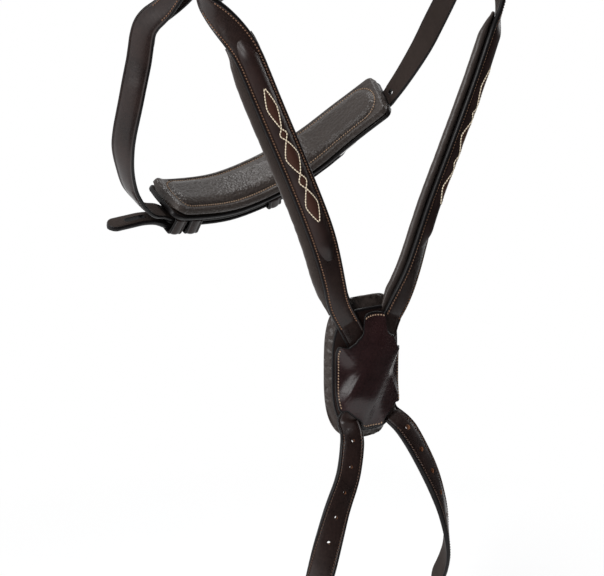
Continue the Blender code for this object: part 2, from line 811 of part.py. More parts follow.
class Buckle:
    """A buckle's heel bar, and the heights at which the straps pass it."""

    def __init__(self, bar, along, face, width, leather=LEATHER):
        self.bar = np.asarray(bar, float)
        self.along = unit(np.asarray(along, float))
        self.across = unit(np.cross(self.along, face))
        self.face = np.cross(self.across, self.along)
        self.width = width
        self.leather = leather
        self.wrap = BUCKLE_WIRE / 2 + SEAT + leather / 2
        self.tongue_height = BUCKLE_WIRE / 2 + SEAT + TONGUE_WIRE / 2
        self.top = max(self.wrap + leather / 2, self.tongue_height + TONGUE_WIRE / 2)
        self.billet = self.top + SEAT + leather / 2
        self.under = -BUCKLE_WIRE / 2 - SEAT - leather / 2

    def place(self, along, face):
        return self.bar + self.along * along + self.face * face

    def chape(self, back=None):
        """The strap's turn round the heel bar, from its face to its back, with the turned end."""
        around = bend(self.bar, self.along, self.face, self.wrap)
        foot, end = self.place(0.0, -self.wrap), self.place(-TURNED_END, -self.wrap)
        return joined(around, back or straight(foot, end, -self.face))

    def billet_path(self, tail):
        """The other strap's way in behind the far bar, out over the heel bar and along the strap."""
        places = [
            self.place(BUCKLE_LENGTH * along, self.under + (self.billet - self.under) * rise)
            for along, rise in BILLET_RISE_SHARES
        ]
        places += [self.place(-tail / 2, self.billet), self.place(-tail, self.billet)]
        return np.array(places), np.repeat(self.face[None], len(places), axis=0)

    def frame(self, name):
        half = self.width / 2 + BUCKLE_SIDE_CLEARANCE + BUCKLE_WIRE / 2
        points, outward = oblong(half, 0.0, BUCKLE_LENGTH, BUCKLE_CORNER)
        places = self.bar + carried(points, self.across, self.along)
        ways = carried(outward, self.across, self.along)
        return hoop(name, places, ways, self.face, round_section(BUCKLE_WIRE / 2), STEEL)

    def tongue(self, name):
        """A wire curled round the heel bar that lies over the far bar. Its origin is on the bar."""
        turns = np.radians(np.linspace(*TONGUE_CURL, TONGUE_STEPS))
        curl = self.tongue_height * np.stack([-np.cos(turns), np.sin(turns)], axis=-1)
        end = BUCKLE_LENGTH + BUCKLE_WIRE
        line = [(end * share, self.tongue_height) for share in TONGUE_SHARES]
        points = np.vstack([curl[:-1], [(0.0, self.tongue_height)], line])
        places = carried(points, self.along, self.face)
        thing = loft(name, (places, np.repeat(self.across[None], len(places), axis=0)),
                     round_section(TONGUE_WIRE / 2)[None], STEEL)
        thing.location = self.bar
        return thing

    def tongue_slot(self, name, strap_object, near, far):
        """Cuts the slot in a strap through which the tongue passes and lifts."""
        width = TONGUE_WIRE / 2 + TONGUE_SLOT_CLEARANCE
        middle, half = (near + far) / 2, (far - near) / 2
        reach = self.billet + self.leather
        bar = (self.place(middle, -reach - CUT_OVERRUN), self.place(middle, reach + CUT_OVERRUN), self.across)
        cut(strap_object, bar_cutter(name, [bar], width, sides=SLOT_SIDES, stretch=half))

    def fit(self, name, chape_object, billet_object):
        """Frame, tongue and the slots that the tongue needs."""
        self.frame(name + "_buckle")
        self.tongue(name + "_tongue")
        reach = self.wrap + self.leather
        self.tongue_slot(name + "_chape_slot", chape_object, -reach, reach)
        near, far = (BUCKLE_LENGTH * share for share in TONGUE_SLOT_SHARES)
        self.tongue_slot(name + "_billet_slot", billet_object, near, far)

    def keeper(self, name, back):
        """A keeper round strap, turned end and billet, the given way down from the heel bar."""
        return keeper(
            name, self.place(-back, 0.0), self.along, self.across, self.face,
            self.width, -self.wrap - self.leather / 2, self.billet + self.leather / 2,
        )


def crown_path():
    """The line over the poll that the lining's underside follows, from right to left."""
    half = [(x * CROWN_HALF_SPAN, 0.0, -z * CROWN_DROP) for x, z in CROWN_TOP_SHARES]
    tangents = np.gradient(np.array(half), axis=0)
    faces = unit(np.cross(tangents, (0.0, 1.0, 0.0)) * -1.0)
    faces[:, 0] = np.abs(faces[:, 0])
    faces[-2:] = (0.0, 0.0, 1.0)
    right = mirrored(-1.0, half)
    places = np.vstack([right, np.array(half)[-2::-1]])
    looks = np.vstack([mirrored(-1.0, faces), faces[-2::-1]])
    flat = len(half) - 1
    dense = smooth(places)
    dense_faces = unit(smooth(looks))
    inner = slice((flat - 1) * SPAN_STEPS, (flat + 1) * SPAN_STEPS + 1)
    dense[inner, 2] = 0.0
    dense_faces[inner] = (0.0, 0.0, 1.0)
    return dense, dense_faces


CROWN_STRAP_HEIGHT = LINING_THICKNESS + SEAT + LEATHER / 2
HEADPIECE_HEIGHT = LINING_THICKNESS + LEATHER + 2 * SEAT + LEATHER / 2


def ring_centre(side):
    return np.array([side * RING_HALF_SPAN, -RING_FORWARD, -RING_DROP])


def ring_loop(side, way, leather, tail=TURNED_END):
    """A strap's turn round a ring's wire on the side that way points to, from turned end to face."""
    way = unit(np.array([0.0, *way]))
    face = np.array([side, 0.0, 0.0])
    slack = RING_LOOP_WIDTH ** 2 / (8 * RING_RADIUS) / 2  # half the ring's rise across the loop
    bar = ring_centre(side) + (RING_RADIUS - slack) * way
    wrap = RING_WIRE / 2 + slack + 2 * SEAT + leather / 2
    around = reverse(bend(bar, -way, face, wrap))
    back = straight(bar + way * tail - face * wrap, bar - face * wrap, -face)
    return joined(back, around), bar + way * RING_LOOP_REACH + face * wrap


def ring_widths(path, width, start=True):
    """Full width, drawn in to the ring loop's width at the ring end."""
    run = run_of(path)
    run = run if start else run[-1] - run
    return np.interp(run, TURNED_END * np.array(RING_TAPER_SHARES), [RING_LOOP_WIDTH, width])


def add_rings():
    turn = np.linspace(0.0, 2 * np.pi, RING_STEPS, endpoint=False)
    outward = np.stack([np.zeros_like(turn), np.cos(turn), np.sin(turn)], axis=-1)
    for name, side in SIDES.items():
        places = ring_centre(side) + RING_RADIUS * outward
        hoop("cheek_ring_" + name, places, outward, (1.0, 0.0, 0.0), round_section(RING_WIRE / 2, 8), STEEL)


def add_headpiece():
    """Lining, split leather strap, and the noseband's crown strap between them."""
    line = crown_path()
    steps = len(line[0])
    lining = piece_of(line, SPAN_STEPS, steps - SPAN_STEPS)
    shares = np.ones(len(lining[0]))
    shares[[0, -1]] = LINING_END_SHARE
    section = lining_section(LINING_WIDTH * shares, 0.0, LINING_THICKNESS)
    loft("headpiece_lining", lining, section, LINING_BROWN)
    top = lifted(line, HEADPIECE_HEIGHT)
    headpiece = strap("headpiece_strap", top, HEADPIECE_WIDTH, -LEATHER / 2, LEATHER / 2)
    for name, side in SIDES.items():
        slit_headpiece(headpiece, name, side)
    return line


def lining_section(width, low, high):
    """The headpiece lining's section: flat below, full and rounded above and at its sides."""
    half = np.asarray(width) / 2
    low, high, half = np.broadcast_arrays(low, high, half)
    points = [np.stack([half * a, low + (high - low) * b], axis=-1) for a, b in LINING_SECTION_SHARES]
    return np.stack(points, axis=-2)


def slit_headpiece(headpiece, name, side):
    """Parts the headpiece below the poll into a cheek tail in front and a throat tail behind."""
    centre = (THROAT_SETBACK - NARROW_WIDTH / 2 - CHEEK_FORWARD + PLAIN_WIDTH / 2) / 2
    low, high = -CROWN_DROP - CUT_OVERRUN, -HEADPIECE_SLIT_TOP
    outer = CROWN_HALF_SPAN + HEADPIECE_HEIGHT + LEATHER + CUT_OVERRUN
    corners = [
        (side * x, centre + y, z)
        for x in (CROWN_HALF_SPAN / 2, outer)
        for y in (-HEADPIECE_SLIT / 2, HEADPIECE_SLIT / 2)
        for z in (low, high)
    ]
    polygons = [(0, 1, 3, 2), (4, 6, 7, 5), (0, 4, 5, 1), (2, 3, 7, 6), (0, 2, 6, 4), (1, 5, 7, 3)]
    cut(headpiece, cutter("headpiece_slit_" + name, corners, polygons))


def add_noseband_crown(line):
    """The strap over the poll from the right ring, buckled to the short strap of the left ring."""
    strap_line = lifted(line, CROWN_STRAP_HEIGHT)
    loop, leave = ring_loop(-1.0, (0.0, 1.0), LEATHER)
    rise = straight(leave, strap_line[0][0], strap_line[1][0], PLAIN_STEPS)
    rise[1][:2] = (-1.0, 0.0, 0.0)
    near = Buckle((RING_HALF_SPAN, -RING_FORWARD, -NEAR_BUCKLE_DROP), (0, 0, 1), (1, 0, 0), NOSEBAND_CROWN_WIDTH)
    billet = near.billet_path(NEAR_BILLET_TAIL)
    fall = straight(strap_line[0][-1], billet[0][0], strap_line[1][-1], PLAIN_STEPS)
    fall[1][-2:] = (1.0, 0.0, 0.0)
    path = joined(loop, rise, strap_line, fall, billet)
    path, tips = with_tip(path)
    widths = np.minimum(ring_widths(path, NOSEBAND_CROWN_WIDTH), NOSEBAND_CROWN_WIDTH * tips)
    crown = strap("noseband_crown_strap", path, widths, -LEATHER / 2, LEATHER / 2)
    loop, leave = ring_loop(1.0, (0.0, 1.0), LEATHER)
    level = near.place(-NEAR_BILLET_TAIL - EDGE, near.wrap)
    run = joined(straight(leave, level, near.face), straight(level, near.place(0.0, near.wrap), near.face, steps=2))
    path = joined(loop, run, near.chape())
    widths = ring_widths(path, NOSEBAND_CROWN_WIDTH)
    short = strap("noseband_near_strap", path, widths, -LEATHER / 2, LEATHER / 2)
    near.fit("noseband", short, crown)
    near.keeper("noseband_keeper", NEAR_BILLET_TAIL * NEAR_KEEPER_SHARE)


def add_browband(line):
    """A band round the brow that loops round headpiece and crown strap at both ends."""
    drop = np.argmin(np.abs(line[0][:, 2] + BROWBAND_LOOP_DROP) - line[0][:, 0])
    places, (_, _, face) = line[0], (axes_of(line)[k] for k in range(3))
    station, look = places[drop], face[drop]
    low = LINING_THICKNESS - BROWBAND_LOOP_CLEARANCE - THIN_LEATHER / 2
    high = HEADPIECE_HEIGHT + LEATHER / 2 + BROWBAND_LOOP_CLEARANCE + THIN_LEATHER / 2
    radius = (high - low) / 2
    rear = HEADPIECE_WIDTH / 2 + BROWBAND_LOOP_CLEARANCE
    inner, outer = station + look * low, station + look * high
    middle = station + look * (low + high) / 2
    way = np.array([0.0, 1.0, 0.0])
    front = -rear
    inside = straight(inner + way * front, inner + way * rear, -look)
    around = reverse(bend(middle + way * rear, way, look, radius))
    outside = straight(outer + way * rear, outer + way * front, look)
    start = outer + way * front
    brow = np.array([0.0, -BROWBAND_REACH, station[2] - BROWBAND_DROP])
    forward = np.array([0.0, -1.0, 0.0])
    looks = unit(np.array([look * outer_share + forward * front_share
                           for outer_share, front_share in BROWBAND_TURN_SHARES]))
    front = route_across(start, brow, BROWBAND_FRONT_SHARES, looks)
    end = joined(inside, around, outside)
    path = joined(end, front, reverse(mirror_path(end)))
    strap("browband", path, BROWBAND_WIDTH, -THIN_LEATHER / 2, THIN_LEATHER / 2)


def hanging_billet(name, start, start_face, clasp, width, tail):
    """A holed strap from just below the headpiece down through a buckle. Its top is round about the
    point on which it swings, half its width below the top."""
    billet = clasp.billet_path(tail)
    sway, shares = np.array(BILLET_SWAY_SHARES).T[:, :, None]
    places = start + (billet[0][0] - start) * np.hstack([sway, shares, shares])
    faces = unit(unit(start_face) + (clasp.face - unit(start_face)) * shares)
    path, tips = with_round_ends(joined((places, faces), billet), width / 2, TIP_LENGTH)
    made = strap(name, path, width * tips, -LEATHER / 2, LEATHER / 2)
    punch_holes(made, path, BILLET_HOLE_SHARES, -LEATHER / 2, LEATHER / 2)
    return made


def add_cheekpiece(name, side, line):
    """Billet, strap with turned-up bit end, buckle, keepers and hook stud of one side."""
    face = np.array([side, 0.0, 0.0])
    bar = (side * CHEEK_HALF_SPAN, -CHEEK_FORWARD, -CHEEK_BUCKLE_DROP)
    clasp = Buckle(bar, (0, 0, 1), face, PLAIN_WIDTH)
    top = lifted(line, HEADPIECE_HEIGHT)
    end = 0 if side < 0 else -1
    start = top[0][end] + np.array([0.0, -CHEEK_FORWARD, -HINGE_GAP])
    upper = hanging_billet("cheek_billet_" + name, start, top[1][end], clasp, PLAIN_WIDTH, CHEEK_BILLET_TAIL)
    lower, foot = bit_end(clasp)
    strap_body = strap("cheek_strap_" + name, joined(lower, clasp.chape()), PLAIN_WIDTH, -LEATHER / 2, LEATHER / 2)
    clasp.fit("cheek_" + name, strap_body, upper)
    clasp.keeper("cheek_keeper_" + name, CHEEK_BILLET_TAIL * CHEEK_KEEPER_SHARE)
    add_stud(name, side, foot, CHEEK_TURNED_END * STUD_PLACE_SHARE)


def bit_end(clasp):
    """The cheek strap from its turned-up end, round the bit's place, up to the buckle."""
    reach = CHEEK_END_DROP - CHEEK_BUCKLE_DROP - CHEEK_LOOP_RADIUS - LEATHER / 2
    near = clasp.wrap - LEATHER - SEAT
    centre = clasp.wrap - CHEEK_LOOP_RADIUS
    deep = centre - CHEEK_LOOP_RADIUS
    inner = np.array([
        clasp.place(CHEEK_TURNED_END * up - reach, near + (deep - near) * swell)
        for up, swell in CHEEK_LOOP_SHARES
    ])
    looks = np.repeat(-clasp.face[None], len(inner), axis=0)
    turned = smooth(inner), unit(smooth(looks))
    low = clasp.place(-reach, centre)
    around = reverse(bend(low, -clasp.along, clasp.face, CHEEK_LOOP_RADIUS, CHEEK_LOOP_STEPS))
    rise = straight(clasp.place(-reach, clasp.wrap), clasp.place(0.0, clasp.wrap), clasp.face, PLAIN_STEPS)
    return joined(turned, around, rise), clasp.place(-reach, near)


def add_stud(name, side, foot, height):
    """The hook stud's head, on the inner side of the turned-up end."""
    centre = foot + np.array([-side * (LEATHER / 2 + SEAT), 0.0, height])
    turn = np.linspace(0.0, 2 * np.pi, STUD_SIDES, endpoint=False)
    ring = np.stack([np.zeros_like(turn), np.cos(turn), np.sin(turn)], axis=-1)
    corners = np.vstack([
        centre + ring * STUD_RADIUS * broad + (-side * STUD_HEIGHT * high, 0.0, 0.0)
        for high, broad in STUD_PROFILE_SHARES
    ])
    count, last = len(turn), len(STUD_PROFILE_SHARES) - 1
    polygons = [tuple(range(count)), tuple(range(last * count, (last + 1) * count))]
    for level in range(last):
        for k in range(count):
            here, there = level * count + k, level * count + (k + 1) % count
            polygons.append((here, there, there + count, here + count))
    solid("cheek_stud_" + name, corners, polygons, STEEL)


def front_path(name, side):
    """A cross strap's turn round its ring, and its line from there to the disc's mouth."""
    loop, leave = ring_loop(side, FRONT_RING_WAY, FRONT_BASE_THICKNESS, FRONT_TURNED_END)
    mouth = disc_line(side, np.array([-1.0]), 0)[0][0]
    return loop, route(leave, mouth, FRONT_SHARES[name], mirrored(side, FRONT_FACES[name]))


def disc_point(u, v, height):
    """A point of the bent disc: u round the bend, v up, height above the base plate's face."""
    radius = DISC_BEND_RADIUS + height
    turn = np.asarray(u) / DISC_BEND_RADIUS
    deep = DISC_BEND_RADIUS - DISC_FORWARD - radius * np.cos(turn)
    return np.stack([radius * np.sin(turn), deep, -DISC_DROP + v + 0 * radius * turn], axis=-1)


def disc_line(side, shares, lift):
    """A cross strap's line inside the disc, from its mouth (-1) to its exit (+1)."""
    shares = np.asarray(shares, float)
    v = -CROSSING_DROP - shares * CROSSING_HALF_REACH
    u = -side * CROSSING_SLOPE * CROSSING_HALF_REACH * shares
    height = SEAT + THIN_LEATHER / 2 + np.asarray(lift)
    turn = u / DISC_BEND_RADIUS
    faces = np.stack([np.sin(turn), -np.cos(turn), 0 * turn], axis=-1)
    return disc_point(u, v, height), faces


def crossing_lift(shares, side):
    """How far the left strap rises over the right one where they cross."""
    if side < 0:
        return 0.0 * np.asarray(shares)
    near, far = CROSSING_LIFT_END_SHARE, CROSSING_LIFT_START_SHARE
    rise = np.clip((far - np.abs(shares)) / (far - near), 0.0, 1.0)
    return (THIN_LEATHER + TUNNEL_CLEARANCE) * rise * rise * (3 - 2 * rise)


def add_front(name, side):
    """One side of the noseband's front: the long cross strap, its lining and raised top."""
    loop, front = front_path(name, side)
    shares = np.linspace(-1.0, 1.0, CROSS_STATIONS)
    inside = disc_line(side, shares, crossing_lift(shares, side))
    exit_place = inside[0][-1]
    other = "right" if side > 0 else "left"
    clasp = chin_clasp(-side)
    billet = clasp.billet_path(LOWER_BILLET_TAIL)
    lower = route(exit_place, billet[0][0], LOWER_SHARES[name], mirrored(-side, LOWER_FACES[name]))
    path = joined(loop, front, inside, lower, billet)
    path, tips = with_tip(path)
    run = run_of(path)
    at = cross_marks(loop, front, inside, run)
    inner, outer = FRONT_WIDTH * CROSS_WIDTH_SHARE, LOWER_WIDTH * CROSS_WIDTH_SHARE
    widths = np.interp(run, at, [*[RING_LOOP_WIDTH] * 2, *[FRONT_WIDTH] * 2, inner, outer, outer, LOWER_WIDTH]) * tips
    skived = FRONT_BASE_THICKNESS * CROSS_THICKNESS_SHARE
    thick = np.interp(run, at, [*[FRONT_BASE_THICKNESS] * 4, skived, *[THIN_LEATHER] * 2, LOWER_THICKNESS])
    taper = at[-1] + LOWER_WIDTH * np.array(LOWER_TAPER_SHARES)
    thick = np.minimum(thick, np.interp(run, taper, [LOWER_THICKNESS, LEATHER]))
    low = np.minimum(thick, THIN_LEATHER) / 2
    low = -np.where((run > at[4] - EDGE) & (run < at[6] + EDGE), low, thick / 2)
    section = flat_section(widths, low, low + thick)
    body = loft("cross_strap_" + name, path, section, HAVANA)
    holes = np.linspace(LOWER_FIRST_HOLE_SHARE, LOWER_LAST_HOLE_SHARE, LOWER_HOLES)
    punch_holes(body, lower, holes, -LOWER_THICKNESS / 2, LOWER_THICKNESS / 2)
    add_front_layers(name, front)
    return body, clasp, other


def cross_marks(loop, front, inside, run):
    """Lengths along a cross strap where its width and thickness change."""
    ring = run_of(loop)[-1]
    mouth = run_of(joined(loop, front))[-1]
    leave = run_of(joined(loop, front, inside))[-1]
    half = (leave - mouth) / 2
    narrowed = mouth + half * CROSS_NARROWED_SHARE
    return [0.0, ring, ring + FRONT_WIDTH, mouth - FRONT_WIDTH, mouth, narrowed, leave, leave + LOWER_WIDTH]


def add_front_layers(name, front):
    """The padded lining behind a front strap and the raised strip sewn on it."""
    lining = piece_of(front, FRONT_LINING_STATIONS[0], -FRONT_LINING_STATIONS[1])
    low = -FRONT_BASE_THICKNESS / 2 - FRONT_LINING_SEAT
    ends = np.ones(len(lining[0]))
    ends[[0, -1]] = FRONT_LINING_END_SHARES
    ends[-2] = (1 + FRONT_LINING_END_SHARES[1]) / 2
    section = rolled_section((FRONT_WIDTH + 2 * FRONT_LINING_MARGIN) * ends, low - FRONT_LINING_THICKNESS * ends, low)
    loft("front_lining_" + name, lining, section, LINING_BROWN)
    top = piece_of(front, FRONT_TOP_STATIONS[0], -FRONT_TOP_STATIONS[1])
    ends = np.ones(len(top[0]))
    ends[[0, -1]] = FRONT_TOP_END_SHARE
    ends[[1, -2]] = (1 + FRONT_TOP_END_SHARE) / 2
    high = FRONT_BASE_THICKNESS / 2 + FRONT_TOP_SEAT
    section = raised_section(FRONT_TOP_WIDTH * ends, high, high + FRONT_TOP_THICKNESS * ends)
    loft("front_raised_strip_" + name, top, section, HAVANA)


def oblong_radius(turn, half_width, half_height):
    """Distance from the disc's middle to its rim, by the angle: a squared ellipse."""
    power = DISC_CORNER_POWER
    across = np.abs(np.cos(turn) / half_width) ** power
    upward = np.abs(np.sin(turn) / half_height) ** power
    return (across + upward) ** (-1.0 / power)


def bent_plate(name, turn, rim, rings, top, bottom, finish):
    """A closed plate on the disc's bend: two skins of the given heights that meet at the rim."""
    corners, count = [], len(turn)
    for height in (top, bottom):
        corners.append(disc_point(0.0, 0.0, height(0.0, 0.0))[None])
        for share in rings:
            u, v = share * rim * np.cos(turn), share * rim * np.sin(turn)
            corners.append(disc_point(u, v, height(u, v)))
    polygons, skin = [], 1 + len(rings) * count
    for base in (0, skin):
        polygons += [(base, base + 1 + k, base + 1 + (k + 1) % count) for k in range(count)]
        for ring in range(len(rings) - 1):
            start = base + 1 + ring * count
            for k in range(count):
                after = (k + 1) % count
                polygons.append((start + k, start + after, start + count + after, start + count + k))
    last = 1 + (len(rings) - 1) * count
    for k in range(count):
        after = (k + 1) % count
        polygons.append((last + k, last + after, skin + last + after, skin + last + k))
    solid(name, np.vstack(corners), polygons, finish)


def add_disc():
    """Lining, base plate and domed cover of the nose disc."""
    turn = np.linspace(0.0, 2 * np.pi, DISC_SIDES, endpoint=False)
    rim = oblong_radius(turn, DISC_HALF_WIDTH, DISC_HALF_HEIGHT)
    bent_plate("disc_base_plate", turn, rim, DISC_BASE_SKIN_SHARES, lambda u, v: 0 * u,
               lambda u, v: 0 * u - DISC_BASE_THICKNESS, HAVANA)
    wide, tall = DISC_HALF_WIDTH + DISC_LINING_MARGIN, DISC_HALF_HEIGHT + DISC_LINING_MARGIN
    rim = oblong_radius(turn, wide, tall)
    seat = -DISC_BASE_THICKNESS - DISC_SEAT

    def inward(u, v):
        reach = np.hypot(u, v) / oblong_radius(np.arctan2(v, u), wide, tall)
        return -np.clip((reach - 1.0 + DISC_ROLL_SHARE) / DISC_ROLL_SHARE, 0.0, 1.0) ** 2

    bent_plate("disc_lining", turn, rim, DISC_LINING_SKIN_SHARES,
               lambda u, v: seat + DISC_LINING_THICKNESS * DISC_ROLL_FACE_SHARE * inward(u, v),
               lambda u, v: seat - DISC_LINING_THICKNESS * (1.0 + DISC_ROLL_BACK_SHARE * inward(u, v)), LINING_BROWN)
    add_cover()


def cover_rim():
    """Angles and radii of the cover's rim, drawn in at the four mouths."""
    rows = np.array(COVER_RIM_SHARES)
    degrees = np.unique(np.concatenate([rows[:, 0], np.arange(-90.0, 90.0, COVER_TURN_STEP)]))
    shares = np.interp(degrees, rows[:, 0], rows[:, 1])
    degrees = np.concatenate([degrees, 180.0 - degrees[-2:0:-1]])
    shares = np.concatenate([shares, shares[-2:0:-1]])
    turn = np.radians(degrees)
    wide, tall = DISC_HALF_WIDTH - DISC_COVER_MARGIN, DISC_HALF_HEIGHT - DISC_COVER_MARGIN
    return turn, shares * oblong_radius(turn, wide, tall)


def tunnel_height(u, v):
    """Room over the base plate for the straps that cross under the cover."""
    room = np.zeros(np.broadcast(u, v).shape)
    length = np.hypot(CROSSING_SLOPE, 1.0)
    for side in SIDES.values():
        down = -(v + CROSSING_DROP)
        off = np.abs(u + side * CROSSING_SLOPE * down) / length
        share = (down - side * CROSSING_SLOPE * u) / length / length / CROSSING_HALF_REACH
        half = FRONT_WIDTH / 2 * np.interp(share, TUNNEL_SPREAD_PLACES, TUNNEL_SPREAD_SHARES)
        fall = np.clip((half + TUNNEL_MARGIN + TUNNEL_SHOULDER - off) / TUNNEL_SHOULDER, 0.0, 1.0)
        thick = THIN_LEATHER + (FRONT_BASE_THICKNESS - THIN_LEATHER) / 2 * np.clip(-share * 2, 0.0, 1.0)
        need = thick + TUNNEL_CLEARANCE + crossing_lift(share, side)
        room = np.maximum(room, need * fall * fall * (3 - 2 * fall))
    return room


def add_cover():
    turn, rim = cover_rim()
    bent_plate("disc_cover", turn, rim, COVER_SKIN_SHARES,
               lambda u, v: SEAT + DISC_COVER_WALL + tunnel_height(u, v),
               lambda u, v: SEAT + tunnel_height(u, v), HAVANA)


def chin_clasp(side):
    """The chin strap's buckle on one side, its heel bar across the strap's end."""
    face = unit(mirrored(side, CHIN_FACES[0]))
    return Buckle((side * LOWER_END_SPAN, -LOWER_END_FORWARD, -LOWER_END_DROP), (0, 0, 1), face, LOWER_WIDTH)


def add_chin(cross):
    """The chin strap between its two buckles, and what fits on it."""
    clasp = chin_clasp(1.0)
    middle = np.array([0.0, CHIN_DEPTH, -CHIN_DROP])
    run = route_across(clasp.place(0.0, clasp.wrap), middle, CHIN_SHARES, CHIN_FACES)
    end = reverse(clasp.chape())
    path = joined(end, run, reverse(mirror_path(end)))
    chin = strap("chin_strap", path, LOWER_WIDTH, -LEATHER / 2, LEATHER / 2)
    for name, (body, clasp, other) in cross.items():
        clasp.fit("chin_" + other, chin, body)
        clasp.keeper("chin_keeper_" + other, LOWER_BILLET_TAIL * LOWER_KEEPER_SHARE)


def pad_line():
    right = (-PAD_RIGHT_SPAN, PAD_RIGHT_DEPTH, -PAD_RIGHT_DROP)
    left = (PAD_LEFT_SPAN, PAD_LEFT_DEPTH, -PAD_LEFT_DROP)
    return route(right, left, PAD_SHARES, PAD_FACES, PAD_SPAN_STEPS)


def moved_across(path, offset):
    """A path moved sideways within its own faces."""
    return path[0] + axes_of(path)[1] * np.broadcast_to(offset, len(path[0]))[:, None], path[1]


def jaw_line():
    """The line of the jaw straps, which run lower than the pad's middle over most of its length."""
    line = pad_line()
    share, part = np.array(JAW_OFFSET_SHARES).T
    return moved_across(line, -JAW_OFFSET * np.interp(run_of(line) / run_of(line)[-1], share, part))


def pad_section(width, low, high):
    """The jaw pad's section: a rolled edge, a sewn channel beside it and a crown."""
    half = np.asarray(width) / 2
    shares = np.vstack([PAD_SECTION_SHARES, np.array(PAD_SECTION_SHARES)[-2::-1] * (-1.0, 1.0)])
    low, high, half = np.broadcast_arrays(low, high, half)
    return np.stack([np.stack([half * a, high + (low - high) * b], axis=-1) for a, b in shares], axis=-2)


def add_jaw_pad():
    line = moved_across(pad_line(), PAD_RAISE)
    count = len(line[0])
    ends = np.ones(count)
    ends[:3], ends[-3:] = PAD_END_SHARES, PAD_END_SHARES[::-1]
    top = -PAD_BACK_THICKNESS - SEAT
    section = pad_section(PAD_WIDTH * ends, top - PAD_LINING_THICKNESS, top)
    loft("jaw_pad_lining", line, section, LINING_BROWN)
    strap("jaw_pad_back", line, (PAD_WIDTH - 4 * EDGE) * ends, -PAD_BACK_THICKNESS, 0.0)


def add_jaw_straps():
    """The two jaw straps, their buckle, keepers and slip loop, on the outer side of the pad."""
    add_jaw_pad()
    line = jaw_line()
    share = run_of(line) / run_of(line)[-1]
    low = PAD_STRAP_SEAT + LEATHER / 2
    base = low + KEEPER_WALL + KEEPER_CLEARANCE
    bar, along, _, face = frame_at(line, JAW_BUCKLE_SHARE)
    wrap = BUCKLE_WIRE / 2 + SEAT + LEATHER / 2
    clasp = Buckle(bar + face * (low + wrap), along, face, JAW_WIDTH)
    rise = JAW_BUCKLE_SHARE - np.array(JAW_RISE_SHARES)
    height = np.interp(share, rise, [base, base + wrap * JAW_RISE_HEIGHT_SHARE, low + 2 * wrap])
    right = add_jaw_right(clasp, line, share, height, low)
    left = add_jaw_left(clasp, line, share, height + LEATHER + JAW_LAYER_GAP, low)
    clasp.fit("jaw", right, left)
    top = base + LEATHER * 1.5 + JAW_LAYER_GAP
    for number, place in enumerate(JAW_KEEPER_SHARES):
        centre, along, across, face = frame_at(line, place)
        high = top + (SEAT + SLIP_LOOP_THICKNESS if place < SLIP_LOOP_TAIL_SHARE else 0.0)
        name, low_side = "jaw_keeper_" + "abc"[number], base - LEATHER / 2
        keeper(name, centre, along, across, face, JAW_WIDTH, low_side, high, JAW_KEEPER_WIDTH)
    add_slip_loop(line, share, top + SEAT)


def add_jaw_right(clasp, line, share, height, low):
    """The strap of the right ring, turned round the buckle's heel bar under the pad."""
    until = share < JAW_BUCKLE_SHARE - JAW_RISE_SHARES[-1] / 2
    under = lifted(line, height)
    under = under[0][until], under[1][until]
    turned = (share < JAW_BUCKLE_SHARE) & (share > JAW_BUCKLE_SHARE - JAW_TURNED_SHARE)
    back = lifted(line, low)
    back = reverse((back[0][turned], -back[1][turned]))
    loop, leave = ring_loop(-1.0, JAW_RING_WAY, LEATHER)
    fall = route(leave, under[0][0], JAW_RIGHT_SHARES, JAW_RIGHT_FACES)
    chape = clasp.chape(joined((clasp.place(0.0, -clasp.wrap)[None], -clasp.face[None]), back))
    path = joined(loop, fall, under, chape)
    return strap("jaw_strap_right", path, ring_widths(path, JAW_WIDTH), -LEATHER / 2, LEATHER / 2)


def add_jaw_left(clasp, line, share, height, low):
    """The strap of the left ring, whose holed end passes the buckle and runs on along the pad."""
    before = share > JAW_BUCKLE_SHARE + JAW_BUCKLE_CLEAR_SHARE
    after = (share < JAW_BUCKLE_SHARE - JAW_RISE_SHARES[-1]) & (share > JAW_TIP_SHARE)
    flat, high = lifted(line, low), lifted(line, height)
    flat = reverse((flat[0][before], flat[1][before]))
    high = reverse((high[0][after], high[1][after]))
    through = clasp.billet_path(0.0)
    loop, leave = ring_loop(1.0, JAW_RING_WAY, LEATHER)
    fall = route(leave, flat[0][0], JAW_LEFT_SHARES, JAW_LEFT_FACES)
    path, tips = with_tip(joined(loop, fall, flat, through, high))
    widths = np.minimum(ring_widths(path, JAW_WIDTH), JAW_WIDTH * tips)
    body = strap("jaw_strap_left", path, widths, -LEATHER / 2, LEATHER / 2, DARK_HAVANA)
    punch_holes(body, fall, JAW_HOLE_SHARES, -LEATHER / 2, LEATHER / 2)
    return body


def add_slip_loop(line, share, height):
    """The slotted leather loop held by two keepers, which sticks out past the pad's right end."""
    under = lifted(line, height + SLIP_LOOP_THICKNESS / 2)
    held = share < SLIP_LOOP_TAIL_SHARE
    held = reverse((under[0][held], under[1][held]))
    centre, along, _, face = frame_at((held[0], held[1]), 1.0)
    out = [
        centre + along * SLIP_LOOP_REACH * far + face * SLIP_LOOP_FALL * down
        for far, down in SLIP_LOOP_OUT_SHARES
    ]
    places = np.vstack([held[0], out])
    faces = np.vstack([held[1], np.repeat(unit(np.array(SLIP_LOOP_END_FACE))[None], len(out), axis=0)])
    path, tips = with_tip((places, faces), SLIP_LOOP_WIDTH / 2)
    half = SLIP_LOOP_THICKNESS / 2
    loop = strap("slip_loop", path, SLIP_LOOP_WIDTH * tips, -half, half, DARK_HAVANA)
    middle, along, across, face = frame_at(path, SLIP_SLOT_SHARE)
    bar = (middle - face * (half + CUT_OVERRUN), middle + face * (half + CUT_OVERRUN), across)
    cut(loop, bar_cutter("slip_loop_slot", [bar], SLIP_SLOT_WIDTH / 2, SLOT_SIDES, SLIP_SLOT_LENGTH / 2))


